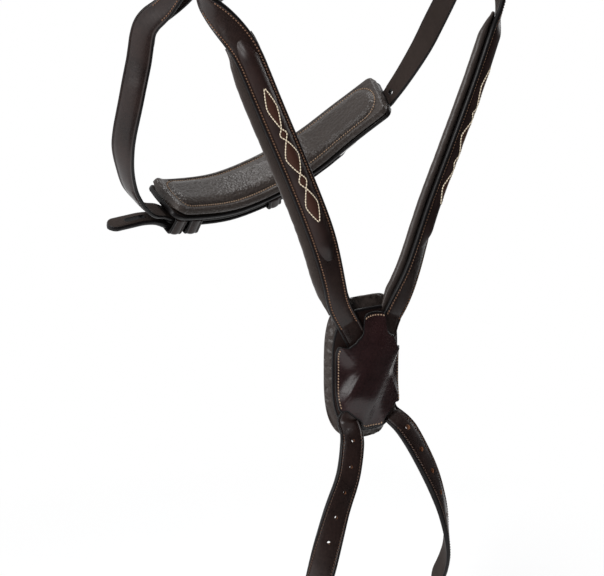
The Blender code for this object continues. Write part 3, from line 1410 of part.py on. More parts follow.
def add_throatlatch(line):
    """The throat strap from the headpiece's right tail to its buckle on the left, and its billet."""
    top = lifted(line, HEADPIECE_HEIGHT)
    tail = top[0][-1] + np.array([0.0, THROAT_SETBACK, -HINGE_GAP])
    clasp = Buckle((THROAT_HALF_SPAN, THROAT_SETBACK, -THROAT_BUCKLE_DROP), (0, 0, 1), (1, 0, 0), NARROW_WIDTH)
    upper = hanging_billet("throat_billet", tail, top[1][-1], clasp, NARROW_WIDTH, THROAT_BILLET_TAIL)
    start = np.array([THROAT_HALF_SPAN + clasp.wrap, THROAT_SETBACK, -THROAT_BUCKLE_DROP])
    under = route_across(start, (0.0, THROAT_DEPTH, -THROAT_DROP), THROAT_SHARES, THROAT_FACES)
    rise = straight(mirrored(-1.0, start), mirrored(-1.0, tail), (-1.0, 0.0, 0.0), PLAIN_STEPS)
    path, tips = with_tip(joined(reverse(clasp.chape()), under, rise), NARROW_WIDTH / 2)
    lower = strap("throat_strap", path, NARROW_WIDTH * tips, -LEATHER / 2, LEATHER / 2)
    clasp.fit("throat", lower, upper)
    clasp.keeper("throat_keeper", THROAT_BILLET_TAIL * THROAT_KEEPER_SHARE)


def build():
    clear_scene()
    line = add_headpiece()
    add_noseband_crown(line)
    add_rings()
    add_browband(line)
    for name, side in SIDES.items():
        add_cheekpiece(name, side, line)
    add_disc()
    cross = {name: add_front(name, side) for name, side in SIDES.items()}
    add_chin(cross)
    add_jaw_straps()
    add_throatlatch(line)


build()
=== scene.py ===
import bpy
import numpy as np
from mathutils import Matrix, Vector


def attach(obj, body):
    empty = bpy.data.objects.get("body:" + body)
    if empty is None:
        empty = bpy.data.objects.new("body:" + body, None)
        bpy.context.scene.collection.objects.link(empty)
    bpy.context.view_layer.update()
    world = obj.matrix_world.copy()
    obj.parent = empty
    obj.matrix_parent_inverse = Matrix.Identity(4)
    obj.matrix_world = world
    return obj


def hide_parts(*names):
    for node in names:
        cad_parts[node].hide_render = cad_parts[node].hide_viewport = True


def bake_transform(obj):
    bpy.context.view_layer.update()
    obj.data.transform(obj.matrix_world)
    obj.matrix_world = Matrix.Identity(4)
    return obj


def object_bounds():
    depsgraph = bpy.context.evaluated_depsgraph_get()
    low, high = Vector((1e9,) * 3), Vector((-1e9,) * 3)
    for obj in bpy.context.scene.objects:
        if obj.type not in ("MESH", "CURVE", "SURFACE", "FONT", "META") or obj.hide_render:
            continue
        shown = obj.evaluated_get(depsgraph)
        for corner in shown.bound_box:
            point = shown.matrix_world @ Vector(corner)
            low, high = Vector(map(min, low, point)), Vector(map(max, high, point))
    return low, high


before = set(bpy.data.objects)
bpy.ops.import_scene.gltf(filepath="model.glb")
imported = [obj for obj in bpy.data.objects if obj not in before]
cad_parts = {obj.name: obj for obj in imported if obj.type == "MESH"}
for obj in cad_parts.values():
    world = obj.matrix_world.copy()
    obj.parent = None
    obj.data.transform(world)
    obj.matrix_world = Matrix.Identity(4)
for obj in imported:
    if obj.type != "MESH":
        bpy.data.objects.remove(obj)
BOX_AT_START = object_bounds()

SIDES = {"left": 1.0, "right": -1.0}

# Leather and running clearances
SEAT = 0.0003
LEATHER = 0.0028
THIN_LEATHER = 0.0022
EDGE = 0.0006
PLAIN_WIDTH = 0.016
NARROW_WIDTH = 0.013
TIP_LENGTH = 0.014
TURNED_END = 0.034
HOLE_WIDTH = 0.0042

# Buckles, tongues and keepers
BUCKLE_WIRE = 0.0030
BUCKLE_LENGTH = 0.017
BUCKLE_CORNER = 0.0022
BUCKLE_SIDE_CLEARANCE = 0.0014
BILLET_RISE_SHARES = ((1.35, 0.0), (0.93, 0.0), (0.66, 0.30), (0.36, 0.80), (0.10, 1.0))
BILLET_SWAY_SHARES = ((0.0, 0.0), (0.14, 0.25), (0.5, 0.5), (0.86, 0.75), (1.0, 1.0))
BILLET_HOLE_SHARES = (0.36, 0.90)
TONGUE_WIRE = 0.0022
TONGUE_CURL = (-150.0, 90.0)
KEEPER_WIDTH = 0.009
KEEPER_WALL = 0.0018
KEEPER_CLEARANCE = 0.0005
KEEPER_CORNER = 0.0010

# Headpiece and noseband crown over the poll
CROWN_HALF_SPAN = 0.0945
CROWN_DROP = 0.105
CROWN_TOP_SHARES = (
    (1.0, 1.0), (0.96, 0.75), (0.86, 0.47), (0.68, 0.22), (0.46, 0.05), (0.25, 0.0), (0.0, 0.0),
)
LINING_THICKNESS = 0.008
LINING_WIDTH = 0.046
LINING_SECTION_SHARES = (
    (-0.9, 0.0), (-1.0, 0.35), (-0.97, 0.75), (-0.84, 1.0), (0.84, 1.0), (0.97, 0.75), (1.0, 0.35),
    (0.9, 0.0),
)
HEADPIECE_WIDTH = 0.038
HEADPIECE_SLIT = 0.004
HEADPIECE_SLIT_TOP = 0.058
NOSEBAND_CROWN_WIDTH = 0.016

# Cheek rings
RING_HALF_SPAN = 0.111
RING_FORWARD = 0.010
RING_DROP = 0.330
RING_RADIUS = 0.021
RING_WIRE = 0.0044
RING_LOOP_WIDTH = 0.0135
RING_LOOP_REACH = 0.012
RING_TAPER_SHARES = (1.5, 2.6)
FRONT_RING_WAY = (-0.43, -0.90)
JAW_RING_WAY = (0.64, -0.77)

# Near side strap of the noseband
NEAR_BUCKLE_DROP = 0.236
NEAR_BILLET_TAIL = 0.042
NEAR_KEEPER_SHARE = 0.42

# Browband
BROWBAND_WIDTH = 0.016
BROWBAND_REACH = 0.135
BROWBAND_DROP = 0.012
BROWBAND_LOOP_DROP = 0.085
BROWBAND_LOOP_CLEARANCE = 0.0004
BROWBAND_TURN_SHARES = ((1.0, 0.0), (1.0, 0.15), (1.0, 0.5), (1.0, 1.6), (0.25, 1.0), (0.0, 1.0))
BROWBAND_FRONT_SHARES = (
    (0.0, 0.0, 0.0), (0.012, 0.20, 0.05), (0.10, 0.52, 0.35), (0.34, 0.82, 0.75), (0.68, 0.97, 0.95),
    (1.0, 1.0, 1.0),
)

# Cheekpieces
CHEEK_STANDOFF = 0.020
CHEEK_HALF_SPAN = RING_HALF_SPAN + CHEEK_STANDOFF
CHEEK_BUCKLE_DROP = 0.196
CHEEK_END_FALL = 0.017
CHEEK_END_DROP = RING_DROP + CHEEK_END_FALL
CHEEK_FORWARD = 0.0105
HINGE_GAP = 0.0010
CHEEK_BILLET_TAIL = 0.046
CHEEK_LOOP_RADIUS = 0.0052
CHEEK_TURNED_END = 0.058
CHEEK_KEEPER_SHARE = 0.30
CHEEK_LOOP_SHARES = (
    (1.0, 0.0), (0.42, 0.0), (0.26, 0.10), (0.14, 0.55), (0.06, 0.90), (0.0, 1.0),
)
STUD_RADIUS = 0.0042
STUD_HEIGHT = 0.0032
STUD_PLACE_SHARE = 0.72
STUD_PROFILE_SHARES = ((0.0, 0.5), (0.45, 0.5), (0.6, 1.0), (0.85, 0.9), (1.0, 0.55))

# Throatlatch
THROAT_SETBACK = 0.0125
THROAT_STANDOFF = 0.006
THROAT_HALF_SPAN = RING_HALF_SPAN + THROAT_STANDOFF
THROAT_DEPTH = 0.085
THROAT_BUCKLE_DROP = 0.178
THROAT_FALL = 0.147
THROAT_DROP = THROAT_BUCKLE_DROP + THROAT_FALL
THROAT_BILLET_TAIL = 0.040
THROAT_KEEPER_SHARE = 0.45
THROAT_SHARES = (
    (0.0, 0.0, 0.0), (0.0, 0.03, 0.30), (0.02, 0.28, 0.58), (0.14, 0.62, 0.84), (0.48, 0.90, 0.97),
    (1.0, 1.0, 1.0),
)
THROAT_FACES = (
    (1.0, 0.0, 0.0), (1.0, 0.0, 0.0), (0.90, 0.30, -0.30), (0.62, 0.42, -0.66), (0.30, 0.45, -0.85),
    (0.0, 0.45, -0.90),
)

# Nose disc: an oblong bent round the nose
DISC_FORWARD = 0.045
DISC_DROP = 0.6235
DISC_BEND_RADIUS = 0.050
DISC_HALF_WIDTH = 0.029
DISC_HALF_HEIGHT = 0.0455
DISC_CORNER_POWER = 3.2
DISC_BASE_THICKNESS = 0.0028
DISC_SEAT = 0.0006
DISC_LINING_THICKNESS = 0.0085
DISC_LINING_MARGIN = 0.0068
DISC_ROLL_SHARE = 0.28
DISC_ROLL_FACE_SHARE = 0.30
DISC_ROLL_BACK_SHARE = 0.35
DISC_COVER_MARGIN = 0.0025
DISC_COVER_WALL = 0.0018
COVER_HALF_WIDTH = DISC_HALF_WIDTH - DISC_COVER_MARGIN
COVER_HALF_HEIGHT = DISC_HALF_HEIGHT - DISC_COVER_MARGIN
CROSSING_DROP = 0.0005
CROSSING_SLOPE = 0.49
CROSSING_HALF_REACH = 0.0355
CROSSING_LIFT_START_SHARE = 0.88
CROSSING_LIFT_END_SHARE = 0.46
TUNNEL_CLEARANCE = 0.0007
TUNNEL_MARGIN = 0.0015
TUNNEL_SHOULDER = 0.0075
TUNNEL_SPREAD_SHARES = (1.0, 0.62)
TUNNEL_SPREAD_PLACES = (-1.1, -0.26)
COVER_RIM_SHARES = (
    (-90.0, 1.0), (-80.0, 1.0), (-76.5, 0.86), (-66.0, 0.82), (-55.0, 0.84), (-51.0, 0.98), (-30.0, 1.0),
    (0.0, 1.0), (30.0, 1.0), (40.0, 0.95), (45.0, 0.74), (58.0, 0.64), (72.0, 0.66), (80.0, 0.78),
    (83.0, 0.97), (90.0, 1.0),
)

# Front straps of the noseband, from ring to disc
FRONT_WIDTH = 0.0220
FRONT_BASE_THICKNESS = 0.0036
FRONT_TURNED_END = 0.013
FRONT_LINING_SEAT = 0.0006
FRONT_LINING_MARGIN = 0.0018
FRONT_LINING_THICKNESS = 0.0065
FRONT_LINING_STATIONS = (6, 2)
SOFT_SIDE_POWER = 0.5
SOFT_FACE_POWER = 0.7
FRONT_TOP_WIDTH = 0.0142
FRONT_TOP_THICKNESS = 0.0034
FRONT_TOP_STATIONS = (6, 7)
CROSS_WIDTH_SHARE = 0.9
CROSS_THICKNESS_SHARE = 0.8
CROSS_NARROWED_SHARE = 0.45
CROSS_STATIONS = 13
FRONT_SHARES = {
    "left": (
        (0.0, 0.0, 0.0), (0.027, 0.31, 0.06), (0.080, 0.54, 0.117), (0.160, 0.74, 0.176),
        (0.315, 0.92, 0.322), (0.508, 1.04, 0.496), (0.686, 1.08, 0.670), (0.830, 1.11, 0.843),
        (0.915, 1.06, 0.93), (1.0, 1.0, 1.0),
    ),
    "right": (
        (0.0, 0.0, 0.0), (0.090, 0.31, 0.06), (0.163, 0.54, 0.117), (0.218, 0.74, 0.176),
        (0.352, 0.92, 0.322), (0.523, 1.04, 0.496), (0.691, 1.08, 0.670), (0.831, 1.11, 0.843),
        (0.904, 1.06, 0.93), (1.0, 1.0, 1.0),
    ),
}
FRONT_FACES = {
    "left": (
        (1.0, 0.0, 0.0), (0.95, -0.30, 0.0), (0.85, -0.50, 0.0), (0.76, -0.65, 0.0), (0.70, -0.71, 0.0),
        (0.70, -0.71, 0.0), (0.66, -0.75, 0.0), (0.52, -0.85, 0.0), (0.38, -0.92, 0.0), (0.34, -0.94, 0.0),
    ),
    "right": (
        (1.0, 0.0, 0.0), (0.88, -0.48, 0.0), (0.68, -0.73, 0.0), (0.52, -0.85, 0.0), (0.46, -0.89, 0.0),
        (0.46, -0.89, 0.0), (0.46, -0.89, 0.0), (0.46, -0.89, 0.0), (0.46, -0.89, 0.0), (0.34, -0.94, 0.0),
    ),
}

# Lower straps, from disc to chin
LOWER_END_SPAN = 0.058
LOWER_END_FORWARD = 0.052
LOWER_END_DROP = 0.815
LOWER_THICKNESS = 0.0042
LOWER_WIDTH = 0.0175
LOWER_SHARES = {
    "left": (
        (0.0, 0.0, 0.0, 0.0), (0.06, 0.08, 0.08, 0.064), (0.27, 0.25, 0.25, 0.111),
        (0.55, 0.42, 0.42, 0.122), (0.79, 0.60, 0.60, 0.129), (0.95, 0.80, 0.80, 0.100),
        (1.0, 1.0, 1.0, 0.0),
    ),
    "right": (
        (0.0, 0.0, 0.0, 0.0), (0.21, 0.08, 0.08, 0.064), (0.48, 0.25, 0.25, 0.111),
        (0.72, 0.42, 0.42, 0.122), (0.88, 0.60, 0.60, 0.129), (0.98, 0.80, 0.80, 0.100),
        (1.0, 1.0, 1.0, 0.0),
    ),
}
LOWER_FACES = {
    "left": (
        (0.34, -0.94, 0.0), (0.16, -0.98, 0.0), (0.02, -1.0, 0.0), (0.10, -0.99, 0.0), (0.38, -0.92, 0.0),
        (0.76, -0.64, 0.0), (0.96, -0.28, 0.0),
    ),
    "right": (
        (0.34, -0.94, 0.0), (0.34, -0.94, 0.0), (0.46, -0.89, 0.0), (0.62, -0.78, 0.0), (0.78, -0.62, 0.0),
        (0.92, -0.40, 0.0), (0.96, -0.28, 0.0),
    ),
}
LOWER_HOLES = 5
LOWER_FIRST_HOLE_SHARE = 0.105
LOWER_LAST_HOLE_SHARE = 0.598
LOWER_BILLET_TAIL = 0.040
LOWER_KEEPER_SHARE = 0.4
LOWER_TAPER_SHARES = (3.0, 6.0)

# Chin strap
CHIN_DEPTH = 0.048
CHIN_FALL = 0.088
CHIN_DROP = LOWER_END_DROP + CHIN_FALL
CHIN_SHARES = (
    (0.0, 0.0, 0.0), (0.0, 0.0, 0.25), (0.01, 0.05, 0.49), (0.14, 0.32, 0.78), (0.50, 0.72, 0.96),
    (1.0, 1.0, 1.0),
)
CHIN_FACES = (
    (0.96, -0.28, 0.0), (0.96, -0.28, 0.0), (0.95, -0.24, -0.12), (0.82, 0.02, -0.55), (0.36, 0.30, -0.86),
    (0.0, 0.38, -0.92),
)

# Jaw straps, from the rings to the jaw pad
PAD_RIGHT_SPAN = 0.092
PAD_RIGHT_DEPTH = 0.0965
PAD_RIGHT_DROP = 0.523
PAD_LEFT_SPAN = 0.0895
PAD_LEFT_DEPTH = 0.080
PAD_LEFT_DROP = 0.461
PAD_SHARES = (
    (0.0, 0.0, 0.0, 0.0), (0.084, 0.084, -0.08, -0.034), (0.318, 0.318, -0.113, -0.093),
    (0.553, 0.553, 0.032, -0.135), (0.743, 0.743, 0.29, -0.136), (0.877, 0.877, 0.629, -0.084),
    (1.0, 1.0, 1.0, 0.0),
)
PAD_FACES = (
    (-0.42, 0.36, -0.82), (-0.25, 0.42, -0.87), (-0.05, 0.48, -0.87), (0.15, 0.48, -0.86),
    (0.38, 0.42, -0.82), (0.55, 0.35, -0.75), (0.65, 0.30, -0.70),
)
PAD_WIDTH = 0.0385
PAD_RAISE = 0.0014
PAD_STRAP_SEAT = 0.0009
PAD_BACK_THICKNESS = 0.0035
PAD_LINING_THICKNESS = 0.0100
JAW_RIGHT_SHARES = (
    (0.0, 0.0, 0.0), (-0.345, 0.126, 0.082), (-0.714, 0.276, 0.163), (-0.788, 0.368, 0.304),
    (-0.936, 0.448, 0.467), (-0.951, 0.609, 0.666), (-0.517, 0.770, 0.832), (-0.049, 0.862, 0.919),
    (0.468, 0.937, 0.978), (1.0, 1.0, 1.0),
)
JAW_RIGHT_FACES = (
    (-1.0, 0.0, 0.0), (-0.92, -0.35, 0.0), (-0.80, -0.58, 0.0), (-0.76, -0.64, 0.0), (-0.78, -0.62, 0.0),
    (-0.84, -0.50, -0.15), (-0.90, -0.25, -0.32), (-0.84, 0.0, -0.52), (-0.65, 0.22, -0.70),
    (-0.42, 0.36, -0.82),
)
JAW_LEFT_SHARES = (
    (0.0, 0.0, 0.0), (0.14, 0.20, 0.12), (0.32, 0.44, 0.38), (0.50, 0.62, 0.60), (0.74, 0.84, 0.83),
    (1.0, 1.0, 1.0),
)
JAW_LEFT_FACES = (
    (1.0, 0.0, 0.0), (0.88, 0.40, -0.12), (0.66, 0.68, -0.30), (0.62, 0.62, -0.46), (0.64, 0.45, -0.60),
    (0.65, 0.30, -0.70),
)
JAW_WIDTH = 0.0165
JAW_BUCKLE_SHARE = 0.74
JAW_OFFSET = 0.0062
JAW_OFFSET_SHARES = (
    (0.0, 0.5), (0.12, 0.66), (0.3, 0.9), (0.5, 1.0), (0.6, 0.5), (0.72, -0.1), (1.0, -0.3),
)
JAW_HOLE_SHARES = (0.955,)
JAW_LAYER_GAP = 0.0006
JAW_TIP_SHARE = 0.02
JAW_TURNED_SHARE = 0.10
JAW_RISE_SHARES = (0.22, 0.11, 0.03)
JAW_RISE_HEIGHT_SHARE = 0.7
JAW_BUCKLE_CLEAR_SHARE = 0.17
JAW_KEEPER_SHARES = (0.068, 0.132, 0.455)
JAW_KEEPER_WIDTH = 0.0115
SLIP_LOOP_THICKNESS = 0.0040
SLIP_LOOP_WIDTH = 0.0125
SLIP_LOOP_TAIL_SHARE = 0.16
SLIP_LOOP_REACH = 0.036
SLIP_LOOP_FALL = 0.016
SLIP_LOOP_OUT_SHARES = ((0.28, 0.16), (0.61, 0.53), (1.0, 1.0))
SLIP_LOOP_END_FACE = (-0.15, 0.38, -0.91)
SLIP_SLOT_WIDTH = 0.0042
SLIP_SLOT_LENGTH = 0.018
SLIP_SLOT_SHARE = 0.68

# Stations along the sweeps
SPAN_STEPS = 3
BEND_STEPS = 5
CORNER_STEPS = 3
TONGUE_STEPS = 7
PAD_SPAN_STEPS = 4
CHEEK_LOOP_STEPS = 7
PLAIN_STEPS = 4

CROWN_STRAP_HEIGHT = LINING_THICKNESS + SEAT + LEATHER / 2
HEADPIECE_HEIGHT = LINING_THICKNESS + LEATHER + 2 * SEAT + LEATHER / 2

# Stations and sections of the dressed straps
STATION_STEP = 0.0014
EDGE_RADIUS = 0.0011
CREASE_INSET = 0.0022
CREASE_WIDTH = 0.0011
CREASE_DEPTH = 0.00040
CROWN_HEIGHT = 0.00050
CHAMFER_STEPS = 4
WIRE_SIDES = 20
RING_STATIONS = 112
BUCKLE_CORNER_STEPS = 10

CREASE_LIP_SHARE = 0.1
CROWN_SHARES = (0.55, 0.2, -0.2, -0.55)

# Thread
STITCH_PITCH = 0.0021
STITCH_SHARE = 0.62
STITCH_SLANT = 0.25
STITCH_SIDES = 7
STITCH_SHAPE = ((-1.0, 0.45), (-0.72, 0.9), (0.0, 1.0), (0.72, 0.9), (1.0, 0.45))
THREAD_RADIUS = 0.00046
EDGE_STITCH_INSET = 0.0023
CHAPE_STITCH_SHARES = (1.2, 2.1)
CHIN_STITCH_SHARES = (1.3, 2.1)
BROWBAND_STITCH_SHARES = (0.16, 0.84)

# Fancy sewing on the raised strips
STRIP_RISE = 1.3
STRIP_WIDTH_SHARE = 0.93
STRIP_END_REACH = (-0.003, 0.014)
STRIP_END_WIDTH = 0.55
STRIP_END_RISE = 0.12
TINT_FADE = 0.0009
FANCY_POWER = 1.4
FANCY_SHARE = 0.84
FANCY_ZERO_SHARES = (0.203, 0.386, 0.436, 0.591, 0.656, 0.817)
FANCY_WIDTH_SHARES = (0.50, -0.36, 0.66, -0.38, 0.62)

# Punched holes as dressed
HOLE_CLOSED_SHARES = {"left": 0.55, "right": 0.9}
HOLE_CLOSED_SHARE = 0.9
JAW_HOLE_OPEN_SHARE = 1.15
CROWN_HOLE_SHARES = (0.015, 0.05, 0.115, 0.15)
RIM_ANGLE = 40.0

# Front, lower and jaw straps as dressed
FRONT_DRESSED_SHARE = 0.89
FRONT_MOUTH_SHARES = {"left": 1.06, "right": 0.84}
FRONT_MOUTH_REACH = 0.060
FRONT_TWISTS = {"left": 0.0, "right": -18.0}
FRONT_TWIST_FADE = 0.14
FRONT_SHIFTS = {"left": 0.0, "right": -0.0036}
LINING_SHIFTS = {"left": 0.0, "right": 0.0028}
LINING_REACHES = {"left": 0.012, "right": 0.001}
LINING_SWELL = 0.0002
LINING_FADE = 0.036
LINING_END_SHARE = 0.45
LOWER_TWISTS = {"left": 10.0, "right": 0.0}
LOWER_BROADER = {"left": 0.2, "right": 0.1}
LOWER_BROAD_REACH = 0.15
JAW_TURNED_LENGTH = 0.054
JAW_BROADER = 0.14
JAW_BROAD_REACH = 0.20

# Disc cover
RIM_SOFTNESS = 4.0
NEAR_CORNER_DROP = 12.0
NECK_SHARES = ((70.0, 0.655), (75.5, 0.72), (78.5, 0.95), (80.5, 0.99), (90.0, 1.0))
DISC_STITCH_INSET = 0.0024
FLAT_RIM_SHARE = 0.965
RIM_STEPS = 2880
LEAST_SEAM_STEPS = 20
TUNNEL_MEANS = ((0.0022, 0.9), (0.0045, 0.8), (0.0068, 0.45))
TUNNEL_LOFT = 1.12
TUNNEL_LEAST = 0.97
PUCKER_HEIGHT = 0.0011
PUCKER_SIZE = 0.0048

# Jaw pad's cushion
PAD_CORNER = 0.0060
PAD_STITCH_INSET = 0.0046
PAD_RIM_SHARE = 0.70
PAD_CHANNEL_SHARE = 0.11
PAD_CHANNEL_WIDTH = 0.0011
PAD_SWELL = 0.0075
PAD_ROUNDING = 0.0026
PAD_RIPPLE = 0.014
PAD_RIPPLE_SIZE = 0.011
PAD_SEAM_LIFT = 0.07

# Studio and camera
FLOOR_GAP = 0.002
FLOOR_SIZE = 40.0
FLOOR_FADE = (0.15, 0.55)
CARD_TURNS = (-85.0, 105.0)
CARD_DISTANCE = 0.5
CARD_REACH = 1.3
SKY_COLOUR = (0.14, 0.144, 0.150, 1.0)
LAMPS = (
    ("key", (-1.7, -1.1, 0.9), 0.8, 36.0), ("side", (-1.9, -0.6, -0.3), 0.5, 15.0),
    ("fill", (1.9, 0.15, -0.1), 0.5, 16.0), ("top", (0.3, 0.2, 1.6), 0.9, 30.0),
)
CAMERA_TURN = -30.0
CAMERA_LIFT = 16.0
CAMERA_PLACE = (-0.75515, -1.25636, -0.15539)
CAMERA_LENS = 127.72
SENSOR_WIDTH = 36.0


def unit(vectors):
    return vectors / np.linalg.norm(vectors, axis=-1, keepdims=True)


def full_turn(count):
    """Even angles round a circle, with the first not repeated at the end."""
    return np.linspace(0.0, 2 * np.pi, count, endpoint=False)


def mirrored(side, rows):
    """The same points or directions for one side of the horse: X changes sign on the right."""
    return np.asarray(rows, float) * (side, 1.0, 1.0)


def smooth(rows, steps=SPAN_STEPS):
    """Catmull-Rom curve through the rows, with the given steps to each span."""
    rows = np.asarray(rows, float)
    ends = np.vstack([2 * rows[0] - rows[1], rows, 2 * rows[-1] - rows[-2]])
    along = np.linspace(0.0, 1.0, steps, endpoint=False)[:, None]
    spans = []
    for before, start, end, after in zip(ends, ends[1:], ends[2:], ends[3:]):
        cubic = 3 * (start - end) + after - before
        square = 2 * before - 5 * start + 4 * end - after
        spans.append(start + 0.5 * along * (end - before + along * (square + along * cubic)))
    return np.vstack([*spans, rows[-1:]])


def stops(start, end, shares):
    """Places between start and end. Each row says how far each axis has come, and last, where
    there is a fourth number, how far the place bows forward as a share of the whole distance."""
    start, end, shares = np.asarray(start, float), np.asarray(end, float), np.asarray(shares)
    places = start + (end - start) * shares[:, :3]
    if shares.shape[1] > 3:
        places[:, 1] -= shares[:, 3] * np.linalg.norm(end - start)
    return places


def route(start, end, shares, faces, steps=SPAN_STEPS):
    """Smooth path from start to end through the stops that the shares give."""
    return smooth(stops(start, end, shares), steps), unit(smooth(faces, steps))


def route_across(start, middle, shares, faces):
    """Smooth path from a start on the left through the middle to the same start on the right."""
    half = stops(start, middle, shares)
    places = np.vstack([half, mirrored(-1.0, half[-2::-1])])
    looks = np.vstack([faces, mirrored(-1.0, np.asarray(faces)[-2::-1])])
    return smooth(places), unit(smooth(looks))


def mirror_path(path):
    return mirrored(-1.0, path[0]), mirrored(-1.0, path[1])


def bend(bar, along, face, radius, steps=BEND_STEPS):
    """Half a turn round a bar: in on the face side, out on the other."""
    angles = np.linspace(0.0, np.pi, steps + 1)[:, None]
    out = np.asarray(face) * np.cos(angles) + np.asarray(along) * np.sin(angles)
    return np.asarray(bar) + radius * out, out


def straight(start, end, face, steps=1):
    shares = np.linspace(0.0, 1.0, steps + 1)[:, None]
    places = np.asarray(start) * (1 - shares) + np.asarray(end) * shares
    return places, np.repeat(np.asarray(face, float)[None], steps + 1, axis=0)


def joined(*paths):
    """Paths end to end, with a station that repeats the one before it left out."""
    places = np.vstack([path[0] for path in paths])
    faces = np.vstack([path[1] for path in paths])
    keep = np.ones(len(places), bool)
    keep[1:] = np.linalg.norm(np.diff(places, axis=0), axis=1) > EDGE / 2
    return places[keep], faces[keep]


def reverse(path):
    return path[0][::-1], path[1][::-1]


def axes_of(path):
    """Along, across and face directions at each station, square to each other."""
    places, faces = path[:2]
    legs = unit(np.diff(places, axis=0))
    along = path[2] if len(path) > 2 else unit(np.vstack([legs[:1], legs[:-1] + legs[1:], legs[-1:]]))
    across = unit(np.cross(along, faces))
    return along, across, np.cross(across, along)


def lifted(path, height):
    """The same path moved along its faces, as the layer above it runs."""
    height = np.broadcast_to(height, len(path[0]))[:, None]
    return path[0] + axes_of(path)[2] * height, path[1]


def run_along(places):
    """Length along a line of places, at each of them."""
    return np.concatenate([[0.0], np.cumsum(np.linalg.norm(np.diff(places, axis=0), axis=1))])


def run_of(path):
    return run_along(path[0])


def sampled(at, run, row):
    """Places or directions read off a row of them at the given lengths."""
    return np.stack([np.interp(at, run, column) for column in row.T], axis=-1)


def frame_at(path, share):
    """Place, along, across and face at a share of the path's length."""
    run = run_of(path)
    place, *axes = (sampled(share * run[-1], run, row) for row in (path[0], *axes_of(path)))
    return (place, *map(unit, axes))


def oblong(half_across, low, high, corner, steps=CORNER_STEPS):
    """Points and outward directions of an oblong with round corners, in two flat axes."""
    turn = np.concatenate([np.linspace(q, q + 90.0, steps + 1) for q in (0.0, 90.0, 180.0, 270.0)])
    outward = np.stack([np.cos(np.radians(turn)), np.sin(np.radians(turn))], axis=-1)
    signs = np.repeat([(1, 1), (-1, 1), (-1, -1), (1, -1)], steps + 1, axis=0)
    middle, half = np.array([0.0, (low + high) / 2]), np.array([half_across, (high - low) / 2])
    return middle + signs * (half - corner) + corner * outward, outward


def carried(points, first, second):
    return points[:, :1] * first + points[:, 1:] * second


def crown_path():
    """The line over the poll that the lining's underside follows, from right to left."""
    half = [(x * CROWN_HALF_SPAN, 0.0, -z * CROWN_DROP) for x, z in CROWN_TOP_SHARES]
    tangents = np.gradient(np.array(half), axis=0)
    faces = unit(np.cross(tangents, (0.0, 1.0, 0.0)) * -1.0)
    faces[:, 0] = np.abs(faces[:, 0])
    faces[-2:] = (0.0, 0.0, 1.0)
    right = mirrored(-1.0, half)
    places = np.vstack([right, np.array(half)[-2::-1]])
    looks = np.vstack([mirrored(-1.0, faces), faces[-2::-1]])
    flat = len(half) - 1
    dense = smooth(places)
    dense_faces = unit(smooth(looks))
    inner = slice((flat - 1) * SPAN_STEPS, (flat + 1) * SPAN_STEPS + 1)
    dense[inner, 2] = 0.0
    dense_faces[inner] = (0.0, 0.0, 1.0)
    return dense, dense_faces


def ring_centre(side):
    return np.array([side * RING_HALF_SPAN, -RING_FORWARD, -RING_DROP])


def ring_loop(side, way, leather, tail=TURNED_END):
    """A strap's turn round a ring's wire on the side that way points to, from turned end to face."""
    way = unit(np.array([0.0, *way]))
    face = np.array([side, 0.0, 0.0])
    slack = RING_LOOP_WIDTH ** 2 / (8 * RING_RADIUS) / 2  # half the ring's rise across the loop
    bar = ring_centre(side) + (RING_RADIUS - slack) * way
    wrap = RING_WIRE / 2 + slack + 2 * SEAT + leather / 2
    around = reverse(bend(bar, -way, face, wrap))
    back = straight(bar + way * tail - face * wrap, bar - face * wrap, -face)
    return joined(back, around), bar + way * RING_LOOP_REACH + face * wrap


def bit_end(clasp):
    """The cheek strap from its turned-up end, round the bit's place, up to the buckle."""
    reach = CHEEK_END_DROP - CHEEK_BUCKLE_DROP - CHEEK_LOOP_RADIUS - LEATHER / 2
    near = clasp.wrap - LEATHER - SEAT
    centre = clasp.wrap - CHEEK_LOOP_RADIUS
    deep = centre - CHEEK_LOOP_RADIUS
    inner = np.array([
        clasp.place(CHEEK_TURNED_END * up - reach, near + (deep - near) * swell)
        for up, swell in CHEEK_LOOP_SHARES
    ])
    looks = np.repeat(-clasp.face[None], len(inner), axis=0)
    turned = smooth(inner), unit(smooth(looks))
    low = clasp.place(-reach, centre)
    around = reverse(bend(low, -clasp.along, clasp.face, CHEEK_LOOP_RADIUS, CHEEK_LOOP_STEPS))
    rise = straight(clasp.place(-reach, clasp.wrap), clasp.place(0.0, clasp.wrap), clasp.face, PLAIN_STEPS)
    return joined(turned, around, rise), clasp.place(-reach, near)


def front_path(name, side):
    """A cross strap's turn round its ring, and its line from there to the disc's mouth."""
    loop, leave = ring_loop(side, FRONT_RING_WAY, FRONT_BASE_THICKNESS, FRONT_TURNED_END)
    mouth = disc_line(side, np.array([-1.0]), 0)[0][0]
    return loop, route(leave, mouth, FRONT_SHARES[name], mirrored(side, FRONT_FACES[name]))


def disc_point(u, v, height):
    """A point of the bent disc: u round the bend, v up, height above the base plate's face."""
    radius = DISC_BEND_RADIUS + height
    turn = np.asarray(u) / DISC_BEND_RADIUS
    deep = DISC_BEND_RADIUS - DISC_FORWARD - radius * np.cos(turn)
    return np.stack([radius * np.sin(turn), deep, -DISC_DROP + v + 0 * radius * turn], axis=-1)


def disc_line(side, shares, lift):
    """A cross strap's line inside the disc, from its mouth (-1) to its exit (+1)."""
    shares = np.asarray(shares, float)
    v = -CROSSING_DROP - shares * CROSSING_HALF_REACH
    u = -side * CROSSING_SLOPE * CROSSING_HALF_REACH * shares
    height = SEAT + THIN_LEATHER / 2 + np.asarray(lift)
    turn = u / DISC_BEND_RADIUS
    faces = np.stack([np.sin(turn), -np.cos(turn), 0 * turn], axis=-1)
    return disc_point(u, v, height), faces


